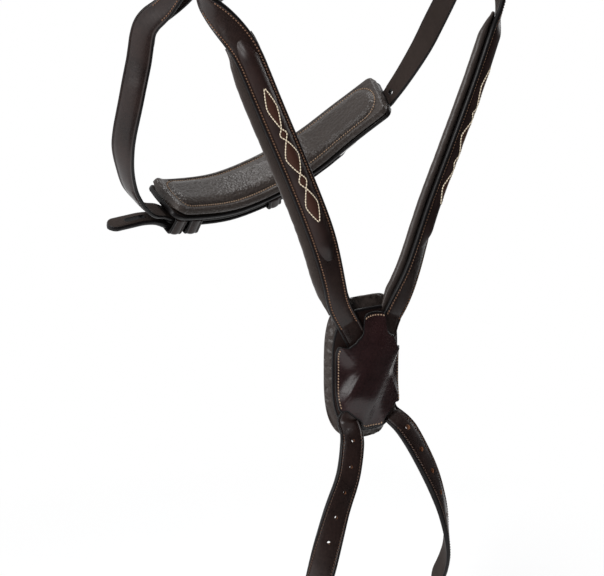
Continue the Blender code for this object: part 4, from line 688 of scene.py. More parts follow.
def crossing_lift(shares, side):
    """How far the left strap rises over the right one where they cross."""
    if side < 0:
        return 0.0 * np.asarray(shares)
    near, far = CROSSING_LIFT_END_SHARE, CROSSING_LIFT_START_SHARE
    rise = np.clip((far - np.abs(shares)) / (far - near), 0.0, 1.0)
    return (THIN_LEATHER + TUNNEL_CLEARANCE) * rise * rise * (3 - 2 * rise)


def cross_marks(loop, front, inside):
    """Lengths along a cross strap where its width and thickness change."""
    ring = run_of(loop)[-1]
    mouth = run_of(joined(loop, front))[-1]
    leave = run_of(joined(loop, front, inside))[-1]
    half = (leave - mouth) / 2
    narrowed = mouth + half * CROSS_NARROWED_SHARE
    far = leave + LOWER_WIDTH
    return [0.0, ring, ring + FRONT_WIDTH, mouth - FRONT_WIDTH, mouth, narrowed, leave, far]


def oblong_radius(turn, half_width, half_height):
    """Distance from the disc's middle to its rim, by the angle: a squared ellipse."""
    power = DISC_CORNER_POWER
    across = np.abs(np.cos(turn) / half_width) ** power
    upward = np.abs(np.sin(turn) / half_height) ** power
    return (across + upward) ** (-1.0 / power)


def tunnel_height(u, v):
    """Room over the base plate for the straps that cross under the cover."""
    room = np.zeros(np.broadcast(u, v).shape)
    length = np.hypot(CROSSING_SLOPE, 1.0)
    for side in SIDES.values():
        down = -(v + CROSSING_DROP)
        off = np.abs(u + side * CROSSING_SLOPE * down) / length
        share = (down - side * CROSSING_SLOPE * u) / length / length / CROSSING_HALF_REACH
        half = FRONT_WIDTH / 2 * np.interp(share, TUNNEL_SPREAD_PLACES, TUNNEL_SPREAD_SHARES)
        fall = np.clip((half + TUNNEL_MARGIN + TUNNEL_SHOULDER - off) / TUNNEL_SHOULDER, 0.0, 1.0)
        thick = THIN_LEATHER + (FRONT_BASE_THICKNESS - THIN_LEATHER) / 2 * np.clip(-share * 2, 0.0, 1.0)
        need = thick + TUNNEL_CLEARANCE + crossing_lift(share, side)
        room = np.maximum(room, need * fall * fall * (3 - 2 * fall))
    return room


def chin_clasp(side):
    """The chin strap's buckle on one side, its heel bar across the strap's end."""
    face = unit(mirrored(side, CHIN_FACES[0]))
    return Buckle((side * LOWER_END_SPAN, -LOWER_END_FORWARD, -LOWER_END_DROP), (0, 0, 1), face, LOWER_WIDTH)


def pad_line():
    right = (-PAD_RIGHT_SPAN, PAD_RIGHT_DEPTH, -PAD_RIGHT_DROP)
    left = (PAD_LEFT_SPAN, PAD_LEFT_DEPTH, -PAD_LEFT_DROP)
    return route(right, left, PAD_SHARES, PAD_FACES, PAD_SPAN_STEPS)


def moved_across(path, offset):
    """A path moved sideways within its own faces."""
    return path[0] + axes_of(path)[1] * np.broadcast_to(offset, len(path[0]))[:, None], path[1]


def jaw_line():
    """The line of the jaw straps, which run lower than the pad's middle over most of its length."""
    line = pad_line()
    share, part = np.array(JAW_OFFSET_SHARES).T
    return moved_across(line, -JAW_OFFSET * np.interp(run_of(line) / run_of(line)[-1], share, part))


class Buckle:
    """A buckle's heel bar, and the heights at which the straps pass it."""

    def __init__(self, bar, along, face, width, leather=LEATHER):
        self.bar = np.asarray(bar, float)
        self.along = unit(np.asarray(along, float))
        self.across = unit(np.cross(self.along, face))
        self.face = np.cross(self.across, self.along)
        self.width = width
        self.leather = leather
        self.wrap = BUCKLE_WIRE / 2 + SEAT + leather / 2
        self.tongue_height = BUCKLE_WIRE / 2 + SEAT + TONGUE_WIRE / 2
        self.top = max(self.wrap + leather / 2, self.tongue_height + TONGUE_WIRE / 2)
        self.billet = self.top + SEAT + leather / 2
        self.under = -BUCKLE_WIRE / 2 - SEAT - leather / 2

    def place(self, along, face):
        return self.bar + self.along * along + self.face * face

    def chape(self, back=None):
        """The strap's turn round the heel bar, from its face to its back, with the turned end."""
        around = bend(self.bar, self.along, self.face, self.wrap)
        foot, end = self.place(0.0, -self.wrap), self.place(-TURNED_END, -self.wrap)
        return joined(around, back or straight(foot, end, -self.face))

    def billet_path(self, tail):
        """The other strap's way in behind the far bar, out over the heel bar and along the strap."""
        places = [
            self.place(BUCKLE_LENGTH * along, self.under + (self.billet - self.under) * rise)
            for along, rise in BILLET_RISE_SHARES
        ]
        places += [self.place(-tail / 2, self.billet), self.place(-tail, self.billet)]
        return np.array(places), np.repeat(self.face[None], len(places), axis=0)


def fine(path, step=STATION_STEP):
    """A path's smooth curve in short even steps: cubic Hermite spans whose slope at station i is
    (d0 h1 + d1 h0) / (h0 + h1), from the legs d and their lengths h on both sides."""
    run = run_of(path)
    at = np.linspace(0.0, run[-1], int(np.ceil(run[-1] / step)) + 1)
    rows = np.hstack([path[0], path[1]])
    lengths = np.diff(run)[:, None]
    legs = np.diff(rows, axis=0) / lengths
    inner = (legs[:-1] * lengths[1:] + legs[1:] * lengths[:-1]) / (lengths[:-1] + lengths[1:])
    slopes = np.vstack([legs[:1], inner, legs[-1:]])
    leg = np.clip(np.searchsorted(run, at, side="right") - 1, 0, len(run) - 2)
    span = lengths[leg]
    t = ((at - run[leg])[:, None]) / span
    found = (
        rows[leg] * (2 * t ** 3 - 3 * t ** 2 + 1)
        + slopes[leg] * span * (t ** 3 - 2 * t ** 2 + t)
        + rows[leg + 1] * (3 * t ** 2 - 2 * t ** 3)
        + slopes[leg + 1] * span * (t ** 3 - t ** 2)
    )
    return found[:, :3], unit(found[:, 3:])


def twisted(path, degrees, fade):
    """A path whose faces turn about it by an angle, in full but over a share near its ends."""
    share = run_of(path) / run_of(path)[-1]
    angle = np.radians(degrees) * ease(np.minimum(share, 1 - share), 0.0, fade)[:, None]
    _, across, face = axes_of(path)
    return path[0], face * np.cos(angle) + across * np.sin(angle)


def part_of(path, first, last):
    """The stretch of a path between two lengths along it."""
    run = run_of(path)
    keep = (run >= first) & (run <= last)
    return path[0][keep], path[1][keep]


def carried_on(path, length):
    """A path whose last direction is carried on over a further length."""
    further = (path[0][-1] - path[0][-2]) / np.linalg.norm(path[0][-1] - path[0][-2])
    places = path[0][-1] + np.linspace(0.0, length, 8)[1:, None] * further
    return np.vstack([path[0], places]), np.vstack([path[1], np.repeat(path[1][-1:], len(places), axis=0)])


def round_share(left, tip, least=0.12):
    """Share of full width at a length left before a rounded end: sqrt(1 - (1 - left / tip)^2)."""
    left = np.clip(left / tip, 0.0, 1.0)
    return np.maximum(least, np.sqrt(1 - (1 - left) ** 2))


def ease(value, low, high):
    """0 below low, 1 above high, and 3t^2 - 2t^3 in between."""
    t = np.clip((value - low) / (high - low), 0.0, 1.0)
    return t * t * (3 - 2 * t)


def ripple(places, size, seed=0):
    """Soft random relief at the given places, from -1 to 1: a sum of sines of wave length size."""
    chance = np.random.default_rng(seed)
    ways = unit(chance.normal(size=(9, 3))) * (2 * np.pi / size) * chance.uniform(0.6, 1.6, (9, 1))
    shift = chance.uniform(0, 2 * np.pi, 9)
    return np.sin(places @ ways.T + shift).sum(axis=-1) / 5.0


# Meshes

FACE, EDGE_ROLE, BACK = 0, 1, 2


def mesh_object(name, corners, faces, looks, roles=None, around=None, marks=None):
    """A closed mesh with its faces turned outwards, its materials, a map in metres and its marks."""
    mesh = bpy.data.meshes.new(name)
    mesh.from_pydata(np.asarray(corners).tolist(), [], faces)
    for look in looks:
        mesh.materials.append(look)
    if roles is not None:
        mesh.polygons.foreach_set("material_index", np.asarray(roles, np.int32))
    for mark, values in (marks or {}).items():
        mesh.attributes.new(mark, "FLOAT", "POINT").data.foreach_set("value", np.asarray(values, np.float32))
    if around is not None:
        index = np.zeros(len(mesh.loops), np.int32)
        mesh.loops.foreach_get("vertex_index", index)
        mesh.uv_layers.new(name="along").data.foreach_set("uv", np.asarray(around, np.float32)[index].ravel())
    mesh.shade_smooth()
    if volume(mesh) < 0:
        mesh.flip_normals()
    thing = bpy.data.objects.new(name, mesh)
    bpy.context.scene.collection.objects.link(thing)
    return thing


def volume(mesh):
    """Signed volume: the sum over triangles of a . (b x c) / 6."""
    mesh.calc_loop_triangles()
    index = np.zeros(len(mesh.loop_triangles) * 3, np.int32)
    mesh.loop_triangles.foreach_get("vertices", index)
    spots = np.zeros(len(mesh.vertices) * 3, np.float32)
    mesh.vertices.foreach_get("co", spots)
    a, b, c = spots.reshape(-1, 3).astype(float)[index.reshape(-1, 3)].transpose(1, 0, 2)
    return np.einsum("ij,ij->i", a, np.cross(b, c)).sum() / 6


def dress(thing, body, slot, *nodes):
    """Puts a piece on its body, in the place of the solids that it stands for."""
    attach(thing, body)
    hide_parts(*nodes)


def grid_faces(rings, count, closed):
    """Quads between neighbouring rings of count corners, and round the tube where it is closed."""
    ring = np.arange(rings if closed else rings - 1)[:, None]
    here = np.arange(count)[None]
    there = (here + 1) % count
    after = (ring + 1) % rings
    ring, after = ring * count, after * count
    return np.stack([ring + here, ring + there, after + there, after + here], axis=-1).reshape(-1, 4).tolist()


def capped_faces(rings, count):
    """The quads of an open tube and its two caps."""
    last = (rings - 1) * count
    return grid_faces(rings, count, False) + [[*range(count)][::-1], [*range(last, last + count)]]


def tube(name, corners, looks, roles, closed=False, along=None, marks=None):
    """A tube through rings of corners, capped at its ends unless it closes on itself."""
    rings, count = corners.shape[:2]
    faces = grid_faces(rings, count, True) if closed else capped_faces(rings, count)
    all_roles = np.tile(roles, len(faces) // count)
    if not closed:
        all_roles = np.append(all_roles, [EDGE_ROLE, EDGE_ROLE])
    girth = run_along(corners[rings // 2])
    if along is None:
        along = run_along(corners.mean(axis=1))
    around = np.stack(np.broadcast_arrays(along[:, None], girth[None]), axis=-1).reshape(-1, 2)
    if len(looks) == 1:
        all_roles = 0 * all_roles
    return mesh_object(name, corners.reshape(-1, 3), faces, looks, all_roles, around, marks)


def carry(path, section):
    """Corners of a section of (across, face) points at each station of a path."""
    _, across, face = axes_of(path)
    return path[0][:, None] + across[:, None] * section[..., :1] + face[:, None] * section[..., 1:]


def leather_section(width, low, high):
    """Burnished strap leather: half-round edges, a crease beside each edge, and a slight crown whose
    height falls off as 1 - share^2."""
    half, low, high = np.broadcast_arrays(np.asarray(width, float) / 2, low, high)
    middle, deep = (low + high) / 2, (high - low) / 2
    scale = np.minimum(1.0, half / (CREASE_INSET + 2 * CREASE_WIDTH))
    radius = EDGE_RADIUS * scale
    points, roles = [], []

    def add(across, height, role):
        points.append(np.stack(np.broadcast_arrays(across, height), axis=-1))
        roles.append(role)

    turn = np.linspace(-np.pi / 2, np.pi / 2, 2 * CHAMFER_STEPS + 1)
    add(radius - half, low, BACK)
    for share in (-0.5, 0.5):
        add((half - radius) * share, low, BACK)
    for angle in turn[:-1]:
        add(half - radius + radius * np.cos(angle), middle + deep * np.sin(angle), EDGE_ROLE)
    insets = [(EDGE_RADIUS, 0.0), (CREASE_INSET - CREASE_WIDTH / 2, -CREASE_LIP_SHARE), (CREASE_INSET, -1.0),
              (CREASE_INSET + CREASE_WIDTH / 2, -CREASE_LIP_SHARE)]
    for inset, drop in insets:
        add(half - inset * scale, high + CREASE_DEPTH * drop * scale, FACE)
    for share in CROWN_SHARES:
        bulge = CROWN_HEIGHT * scale * (1 - share ** 2)
        add((half - insets[-1][0] * scale) * share, high + bulge, FACE)
    for inset, drop in insets[::-1]:
        add(inset * scale - half, high + CREASE_DEPTH * drop * scale, FACE)
    roles[-1] = EDGE_ROLE
    for angle in turn[-2:0:-1]:
        add(radius - half - radius * np.cos(angle), middle + deep * np.sin(angle), EDGE_ROLE)
    return np.stack(points, axis=-2), roles


def ring_section(radius, sides=WIRE_SIDES):
    """A circle of corners."""
    turn = full_turn(sides)
    return radius * np.stack([np.cos(turn), np.sin(turn)], axis=-1)


def strap(name, path, width, low, high, looks):
    """A dressed strap: the leather section carried along a fine path."""
    section, roles = leather_section(width, low, high)
    section = np.broadcast_to(section, (len(path[0]), *section.shape[-2:]))
    return tube(name, carry(path, section), looks, roles, along=run_of(path))


def plain_strap(name, body, node, path, width, thickness=LEATHER):
    """A havana strap of one thickness, in the place of its solid."""
    path = fine(path)
    dress(strap(name, path, width, -thickness / 2, thickness / 2, HAVANA_LOOKS), body, "havana_leather", node)
    return path


def cut_out(thing, rings, look):
    """Cuts prisms out of a piece, each between a ring of corners below it and one above it, and
    gives the walls that they leave their own look."""
    count = len(rings[0][0])
    one = np.array(grid_faces(2, count, False))
    caps = np.stack([np.arange(count)[::-1], np.arange(count, 2 * count)])
    starts = [2 * count * k for k in range(len(rings))]
    faces = [face for start in starts for face in [*(caps + start).tolist(), *(one + start).tolist()]]
    cutter = mesh_object(thing.name + "_cutter", np.array(rings).reshape(-1, 3), faces, [look])
    step = thing.modifiers.new("cut", "BOOLEAN")
    step.solver, step.material_mode, step.object = "EXACT", "TRANSFER", cutter
    kept = bpy.data.meshes.new_from_object(thing.evaluated_get(bpy.context.evaluated_depsgraph_get()))
    kept.set_sharp_from_angle(angle=np.radians(RIM_ANGLE))
    thing.modifiers.clear()
    thing.data = kept
    bpy.data.objects.remove(cutter)


def bored(thing, path, shares, reach, look, open_share=HOLE_CLOSED_SHARE):
    """Round holes through a strap at shares of a path."""
    ring = ring_section(HOLE_WIDTH / 2 * open_share)
    rings = []
    for share in shares:
        centre, _, across, face = frame_at(path, share)
        flat = centre + across * ring[:, :1] + np.cross(face, across) * ring[:, 1:]
        rings.append([flat - face * reach, flat + face * reach])
    cut_out(thing, rings, look)


# Thread


def stitch_row(path, across, height, first=0.0, last=None):
    """Middles, directions and faces of the stitches in a row that follows a path at a distance
    across it and a height above it, between two lengths along it."""
    run = run_of(path)
    at = np.arange(first + STITCH_PITCH / 2, run[-1] if last is None else last, STITCH_PITCH)
    along, side, face = axes_of(path)
    across, height = (np.broadcast_to(offset, len(run))[:, None] for offset in (across, height))
    places = path[0] + side * across + face * height
    return sampled(at, run, places), unit(sampled(at, run, along)), unit(sampled(at, run, face))


def line_stitches(places, faces):
    """Stitches along any line of places whose faces are given."""
    run = run_along(places)
    at = np.arange(STITCH_PITCH / 2, run[-1], STITCH_PITCH)
    ways = unit(np.gradient(places, axis=0))
    return sampled(at, run, places), unit(sampled(at, run, ways)), unit(sampled(at, run, faces))


def sew(name, body, rows, look, slant=STITCH_SLANT, long=STITCH_SHARE):
    """All the stitches of one thread as one piece: small slanted capsules, half sunk in the leather."""
    centres, ways, faces = (np.vstack([row[k] for row in rows]) for k in range(3))
    sides = np.cross(faces, ways)
    ways, sides = unit(ways + slant * sides), unit(sides - slant * ways)
    faces = np.cross(ways, sides)
    half = STITCH_PITCH * long / 2
    round_ring = ring_section(THREAD_RADIUS, STITCH_SIDES)
    shape = np.array([[along * half, *(broad * spot)]
                      for along, broad in STITCH_SHAPE for spot in round_ring])
    corners = (centres[:, None] + ways[:, None] * shape[None, :, :1]
               + sides[:, None] * shape[None, :, 1:2] + faces[:, None] * shape[None, :, 2:])
    one = capped_faces(len(STITCH_SHAPE), STITCH_SIDES)
    starts = range(0, len(centres) * len(shape), len(shape))
    all_faces = [[k + start for k in face] for start in starts for face in one]
    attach(mesh_object(name, corners.reshape(-1, 3), all_faces, [look]), body)


def edge_rows(path, width, height, first=0.0, last=None, inset=EDGE_STITCH_INSET):
    """The two rows of stitches beside a strap's edges."""
    off = np.asarray(width) / 2 - inset
    return [stitch_row(path, way * off, height, first, last) for way in (-1, 1)]


def chape_rows(path, width):
    """Stitches that hold the end that turns back from a buckle, at the far end of a strap."""
    near, far = CHAPE_STITCH_SHARES
    last = run_of(path)[-1]
    return edge_rows(path, width, LEATHER / 2, last - far * TURNED_END, last - near * TURNED_END)


# Materials


class Value:
    """A shader socket on which arithmetic adds maths nodes."""

    def __init__(self, look, socket):
        self.look, self.socket = look, socket

    def math(self, operation, *others):
        node = self.look.tree.nodes.new("ShaderNodeMath")
        node.operation = operation
        for k, other in enumerate((self, *others)):
            self.look.feed(node.inputs[k], other)
        return Value(self.look, node.outputs[0])

    def __add__(self, other):
        return self.math("ADD", other)

    def __mul__(self, other):
        return self.math("MULTIPLY", other)

    def above(self, low, high):
        """0 below low and 1 above high."""
        node = self.look.node("ShaderNodeMapRange", {"Value": self, "From Min": low, "From Max": high})
        return node["Result"]


class Look:
    """A material in the making. Nodes are reached by name, and sockets by theirs."""

    def __init__(self, name):
        self.material = bpy.data.materials.new(name)
        self.material.use_nodes = True
        self.tree = self.material.node_tree
        self.shader = self.tree.nodes["Principled BSDF"]

    def feed(self, socket, value):
        if isinstance(value, Value):
            self.tree.links.new(value.socket, socket)
        elif hasattr(value, "__len__") and len(value) == 3 and socket.type == "RGBA":
            socket.default_value = (*value, 1.0)
        else:
            socket.default_value = value

    def node(self, kind, inputs=None, **settings):
        made = self.tree.nodes.new(kind)
        for name, value in settings.items():
            setattr(made, name, value)
        for name, value in (inputs or {}).items():
            self.feed(made.inputs[name], value)
        return {socket.name: Value(self, socket) for socket in made.outputs}

    def set(self, **inputs):
        for name, value in inputs.items():
            self.feed(self.shader.inputs[name.replace("_", " ")], value)

    def place(self):
        return self.node("ShaderNodeTexCoord")["Object"]

    def noise(self, scale, detail=3.0, rough=0.55, spot=None):
        inputs = {"Vector": spot or self.place(), "Scale": scale, "Detail": detail, "Roughness": rough}
        return self.node("ShaderNodeTexNoise", inputs)["Fac"]

    def cells(self, scale):
        return self.node("ShaderNodeTexVoronoi", {"Vector": self.place(), "Scale": scale})["Distance"]

    def blend(self, share, first, second):
        made = self.tree.nodes.new("ShaderNodeMix")
        made.data_type = "RGBA"
        for socket, value in zip((made.inputs[0], made.inputs[6], made.inputs[7]), (share, first, second)):
            self.feed(socket, value)
        return Value(self, made.outputs[2])

    def bump(self, height, distance, strength=1.0, under=None):
        inputs = {"Height": height, "Distance": distance, "Strength": strength}
        if under:
            inputs["Normal"] = under
        return self.node("ShaderNodeBump", inputs)["Normal"]

    def along(self, stretch):
        """The map along the strap, in metres, stretched to make folds run across it."""
        spot = self.node("ShaderNodeUVMap", uv_map="along")["UV"]
        return self.node("ShaderNodeMapping", {"Vector": spot, "Scale": stretch})["Vector"]


def leather(name, dark, light, rough=0.30, grain=1500.0, folds=0.00012, coat=0.05, shine=0.32):
    """Grain leather: mottled colour, fine pores and shallow folds across the strap."""
    look = Look(name)
    mottle = look.noise(38.0, 4.0, 0.6)
    fine_mottle = look.noise(620.0, 3.0, 0.6)
    colour = look.blend(mottle.above(0.32, 0.72) * 0.7 + fine_mottle.above(0.35, 0.75) * 0.45, dark, light)
    pores = look.cells(grain)
    creases = look.noise(1.0, 3.0, 0.6, look.along((430.0, 60.0, 1.0)))
    grained = look.bump(pores * 0.7 + fine_mottle * 0.3, 0.00003, 0.5)
    folded = look.bump(creases, folds, 0.8, grained)
    look.set(Base_Color=colour, Roughness=mottle * 0.16 + fine_mottle * 0.10 + (rough - 0.13), Normal=folded)
    look.set(Coat_Weight=coat, Coat_Roughness=0.28, Specular_IOR_Level=shine)
    return look.material


def edge_finish(name, colour, rough=0.34):
    """Painted and burnished leather edge, faintly layered."""
    look = Look(name)
    layers = look.noise(900.0, 2.0, 0.5)
    relief = look.bump(layers, 0.00004, 0.4)
    look.set(Base_Color=colour, Roughness=layers * 0.2 + (rough - 0.1), Normal=relief)
    look.set(Specular_IOR_Level=0.2)
    return look.material


def flesh_side(name, colour):
    """The matt fibrous back of a strap."""
    look = Look(name)
    fibres = look.noise(2600.0, 4.0, 0.7)
    tone = look.blend(look.noise(160.0, 4.0), tuple(0.75 * c for c in colour), tuple(1.2 * c for c in colour))
    look.set(Base_Color=tone, Roughness=0.78, Normal=look.bump(fibres, 0.00012, 0.6), Specular_IOR_Level=0.2)
    return look.material


def pebbled(name, dark, light, grain=720.0, relief=0.00016):
    """Soft lining leather with a pebble grain: raised cells parted by fine lines."""
    look = Look(name)
    cells = look.cells(grain)
    warp = look.noise(900.0, 2.0)
    colour = look.blend(look.noise(30.0, 4.0) * 0.6 + cells.above(0.0, 0.9) * 0.4, dark, light)
    grained = look.bump((cells * -1.0) + warp * 0.35, relief, 0.8)
    look.set(Base_Color=colour, Roughness=0.36, Normal=grained, Specular_IOR_Level=0.28)
    return look.material


def thread(name, colour):
    look = Look(name)
    twist = look.noise(4200.0, 2.0)
    tone = look.blend(twist.above(0.3, 0.7), tuple(0.72 * c for c in colour), colour)
    look.set(Base_Color=tone, Roughness=0.7, Normal=look.bump(twist, 0.00008, 0.5), Specular_IOR_Level=0.25)
    return look.material


def steel(name, rough=0.16):
    look = Look(name)
    scuffs = look.noise(300.0, 5.0, 0.7)
    look.set(Base_Color=(0.62, 0.62, 0.61), Metallic=1.0, Roughness=scuffs * 0.12 + rough)
    return look.material


def tinted_strip(name):
    """The raised strip's leather, redder inside the lenses of the fancy sewing."""
    look = Look(name)
    mottle = look.noise(38.0, 4.0, 0.6)
    fine_mottle = look.noise(620.0, 3.0, 0.6)
    plain = look.blend(mottle.above(0.3, 0.75), (0.011, 0.0062, 0.0058), (0.027, 0.0135, 0.0115))
    tint = look.node("ShaderNodeAttribute", attribute_name="tint")["Fac"]
    colour = look.blend(tint * (fine_mottle * 0.5 + 0.6), plain, (0.052, 0.020, 0.0125))
    grained = look.bump(look.cells(1500.0) * 0.7 + fine_mottle * 0.3, 0.00003, 0.5)
    look.set(Base_Color=colour, Roughness=fine_mottle * 0.2 + 0.30, Normal=grained)
    look.set(Coat_Weight=0.1, Coat_Roughness=0.25, Specular_IOR_Level=0.26)
    return look.material


HAVANA_FACE = leather("havana_face", (0.0080, 0.0050, 0.0046), (0.0230, 0.0125, 0.0105))
HAVANA_SOFT = leather("havana_glazed", (0.0090, 0.0042, 0.0046), (0.0260, 0.0105, 0.0108), 0.25, 1300.0,
                      0.00016, 0.16, 0.36)
BLACK_FACE = leather("dark_face", (0.0045, 0.0038, 0.0040), (0.0095, 0.0080, 0.0084), shine=0.16)
PAINTED_EDGE = edge_finish("painted_edge", (0.0055, 0.0045, 0.0048))
HAVANA_BACK = flesh_side("havana_back", (0.024, 0.016, 0.013))
BORE_WALL = flesh_side("hole_wall", (0.17, 0.070, 0.032))
LINING = pebbled("lining_grain", (0.024, 0.0185, 0.0165), (0.052, 0.042, 0.037), 450.0, 0.00055)
LINING_FINE = pebbled("lining_fine_grain", (0.021, 0.0160, 0.0145), (0.050, 0.038, 0.033), 900.0, 0.00007)
BROWN_THREAD = thread("brown_thread", (0.20, 0.110, 0.068))
PALE_THREAD = thread("pale_thread", (0.36, 0.245, 0.165))
DARK_THREAD = thread("dark_thread", (0.085, 0.048, 0.034))
CREAM_THREAD = thread("cream_thread", (0.80, 0.68, 0.51))
POLISHED = steel("polished_steel")
STRIP = tinted_strip("strip_leather")
HAVANA_LOOKS = [HAVANA_FACE, PAINTED_EDGE, HAVANA_BACK]
BLACK_LOOKS = [BLACK_FACE, PAINTED_EDGE, HAVANA_BACK]


# Metal


def hoop(name, places, outward, axis, section, looks, roles=None):
    """A closed ring: a section of (outward, axis) pairs carried round a flat loop."""
    corners = (places[:, None] + outward[:, None] * section[None, :, :1]
               + np.asarray(axis) * section[None, :, 1:])
    return tube(name, corners, looks, roles if roles is not None else [0] * len(section), closed=True)


def dress_buckle(name, clasp, body):
    """Wire frame and tongue of a buckle."""
    half = clasp.width / 2 + BUCKLE_SIDE_CLEARANCE + BUCKLE_WIRE / 2
    points, outward = oblong(half, 0.0, BUCKLE_LENGTH, BUCKLE_CORNER, BUCKLE_CORNER_STEPS)
    places = clasp.bar + carried(points, clasp.across, clasp.along)
    ways = carried(outward, clasp.across, clasp.along)
    made = hoop(name + "_buckle_wire", places, ways, clasp.face, ring_section(BUCKLE_WIRE / 2), [POLISHED])
    dress(made, body, "buckle_steel", name + "_buckle")
    turns = np.radians(np.linspace(*TONGUE_CURL, 4 * TONGUE_STEPS))
    curl = clasp.tongue_height * np.stack([-np.cos(turns), np.sin(turns)], axis=-1)
    end = BUCKLE_LENGTH + BUCKLE_WIRE
    line = [(end * share, clasp.tongue_height) for share in (0.15, 0.35, 0.6, 0.85, 0.93, 0.98, 1.0)]
    spots = carried(np.vstack([curl, line]), clasp.along, clasp.face)
    path = (clasp.bar + spots, np.repeat(clasp.across[None], len(spots), axis=0))
    wire = np.full(len(spots), TONGUE_WIRE / 2)
    wire[-3:] *= (0.9, 0.66, 0.25)
    wire[0] *= 0.6
    section = ring_section(1.0)[None] * wire[:, None, None]
    pin = tube(name + "_tongue_wire", carry(path, section), [POLISHED], [0] * WIRE_SIDES)
    dress(pin, name + "_tongue", "buckle_steel", name + "_tongue")


def dress_keeper(name, body, centre, along, across, face, width, low, high, broad=KEEPER_WIDTH):
    """A leather keeper: a creased band round a stack of straps."""
    slack = KEEPER_CLEARANCE
    points, outward = oblong(width / 2 + slack, low - slack, high + slack, KEEPER_CORNER, BUCKLE_CORNER_STEPS)
    points, outward = spread_points(points, outward)
    section, roles = leather_section(broad, 0.0, KEEPER_WALL)
    places = centre + carried(points, across, face)
    ways = carried(outward, across, face)
    band = hoop(name + "_band", places, ways, along, section[:, ::-1], HAVANA_LOOKS, roles)
    dress(band, body, "havana_leather", name)


def spread_points(points, outward):
    """More points on the long sides of a closed loop."""
    loop, ways = np.vstack([points, points[:1]]), np.vstack([outward, outward[:1]])
    run = run_along(loop)
    at = np.unique(np.concatenate([run, np.arange(0.0, run[-1], STATION_STEP)]))[:-1]
    return sampled(at, run, loop), unit(sampled(at, run, ways))


def buckle_keeper(name, clasp, back):
    """The keeper a way down from a buckle's heel bar."""
    dress_keeper(name, name, clasp.place(-back, 0.0), clasp.along, clasp.across, clasp.face, clasp.width,
                 -clasp.wrap - clasp.leather / 2, clasp.billet + clasp.leather / 2)


def dress_rings():
    turn = full_turn(RING_STATIONS)
    outward = np.stack([np.zeros_like(turn), np.cos(turn), np.sin(turn)], axis=-1)
    for name, side in SIDES.items():
        places = ring_centre(side) + RING_RADIUS * outward
        section = ring_section(RING_WIRE / 2, 28)
        ring = hoop("ring_wire_" + name, places, outward, (1.0, 0.0, 0.0), section, [POLISHED])
        dress(ring, "headpiece", "buckle_steel", "cheek_ring_" + name)


def dress_stud(name, side, foot):
    """A turned stud head: the profile's (height, radius) shares carried round its axis."""
    centre = foot + np.array([-side * (LEATHER / 2 + SEAT), 0.0, CHEEK_TURNED_END * STUD_PLACE_SHARE])
    profile = smooth([(h, r, 0.0) for h, r in STUD_PROFILE_SHARES], 6)[:, :2]
    turn = full_turn(40)
    ring = np.stack([np.zeros_like(turn), np.cos(turn), np.sin(turn)], axis=-1)
    levels = [centre + ring * STUD_RADIUS * r + (-side * STUD_HEIGHT * h, 0.0, 0.0) for h, r in profile]
    corners = np.stack(levels)
    made = tube("stud_head_" + name, corners, [POLISHED], [0] * len(turn))
    dress(made, "cheekpiece_" + name, "buckle_steel", "cheek_stud_" + name)


# Headpiece, crown strap and browband


def dress_headpiece(line):
    """Padded lining and the broad strap, which parts into a cheek tail and a throat tail each side."""
    first, last = run_of(line)[SPAN_STEPS], run_of(line)[-1 - SPAN_STEPS]
    soft = part_of(fine(line), first, last)
    run = run_of(soft)
    ends = 0.8 + 0.2 * ease(np.minimum(run, run[-1] - run), 0.0, LINING_WIDTH / 4)
    shape = smooth([(a, b, 0.0) for a, b in LINING_SECTION_SHARES], 5)[:, :2]
    shape = np.vstack([shape, [(0.5, 0.0), (0.0, 0.0), (-0.5, 0.0)]])
    section = np.stack(np.broadcast_arrays(
        shape[None, :, 0] * (LINING_WIDTH / 2 * ends)[:, None],
        np.clip(shape[None, :, 1], 0.0, 1.0) * LINING_THICKNESS * np.ones(len(run))[:, None]), axis=-1)
    corners = carry(soft, section)
    side = np.abs(shape[:, 0]) > 0.9
    sag = 0.00035 * (1 + ripple(corners[:, side], 0.012, 3))
    corners[:, side] -= (axes_of(soft)[1][:, None] * np.sign(shape[side, 0])[None, :, None]) * sag[..., None]
    lining = tube("headpiece_padding", corners, [LINING_FINE], [0] * len(shape), along=run)
    dress(lining, "headpiece", "padded_lining", "headpiece_lining")
    top = fine(lifted(line, HEADPIECE_HEIGHT))
    half = len(top[0]) // 2
    slit = np.interp(HEADPIECE_SLIT_TOP, -top[0][:half, 2][::-1], run_of(top)[:half][::-1])
    end = run_of(top)[-1]
    middle = part_of(top, slit, end - slit)
    main = strap("headpiece_leather", middle, HEADPIECE_WIDTH, -LEATHER / 2, LEATHER / 2, HAVANA_LOOKS)
    dress(main, "headpiece", "havana_leather", "headpiece_strap")
    sew("headpiece_sewing", "headpiece", edge_rows(middle, HEADPIECE_WIDTH, LEATHER / 2), BROWN_THREAD)
    return top, slit


def tail_path(top, slit, side, start_middle, end_middle, spread):
    """One tail of the parted headpiece, from the slit's top to its end, on one side. Its middle moves
    across from that of its share of the full width to that of the strap that it becomes."""
    end = run_of(top)[-1]
    tail = part_of(top, end - slit, end) if side > 0 else reverse(part_of(top, 0.0, slit))
    run = run_of(tail)
    move = start_middle + (end_middle - start_middle) * ease(run, 0.0, spread)
    return tail[0] + np.array([0.0, 1.0, 0.0]) * move[:, None], tail[1]


def billet_rows(start, start_face, clasp, tail):
    """The path of a holed strap from just below the headpiece down through a buckle."""
    billet = clasp.billet_path(tail)
    sway, shares = np.array(BILLET_SWAY_SHARES).T[:, :, None]
    places = start + (billet[0][0] - start) * np.hstack([sway, shares, shares])
    faces = unit(unit(start_face) + (clasp.face - unit(start_face)) * shares)
    return joined((places, faces), billet)


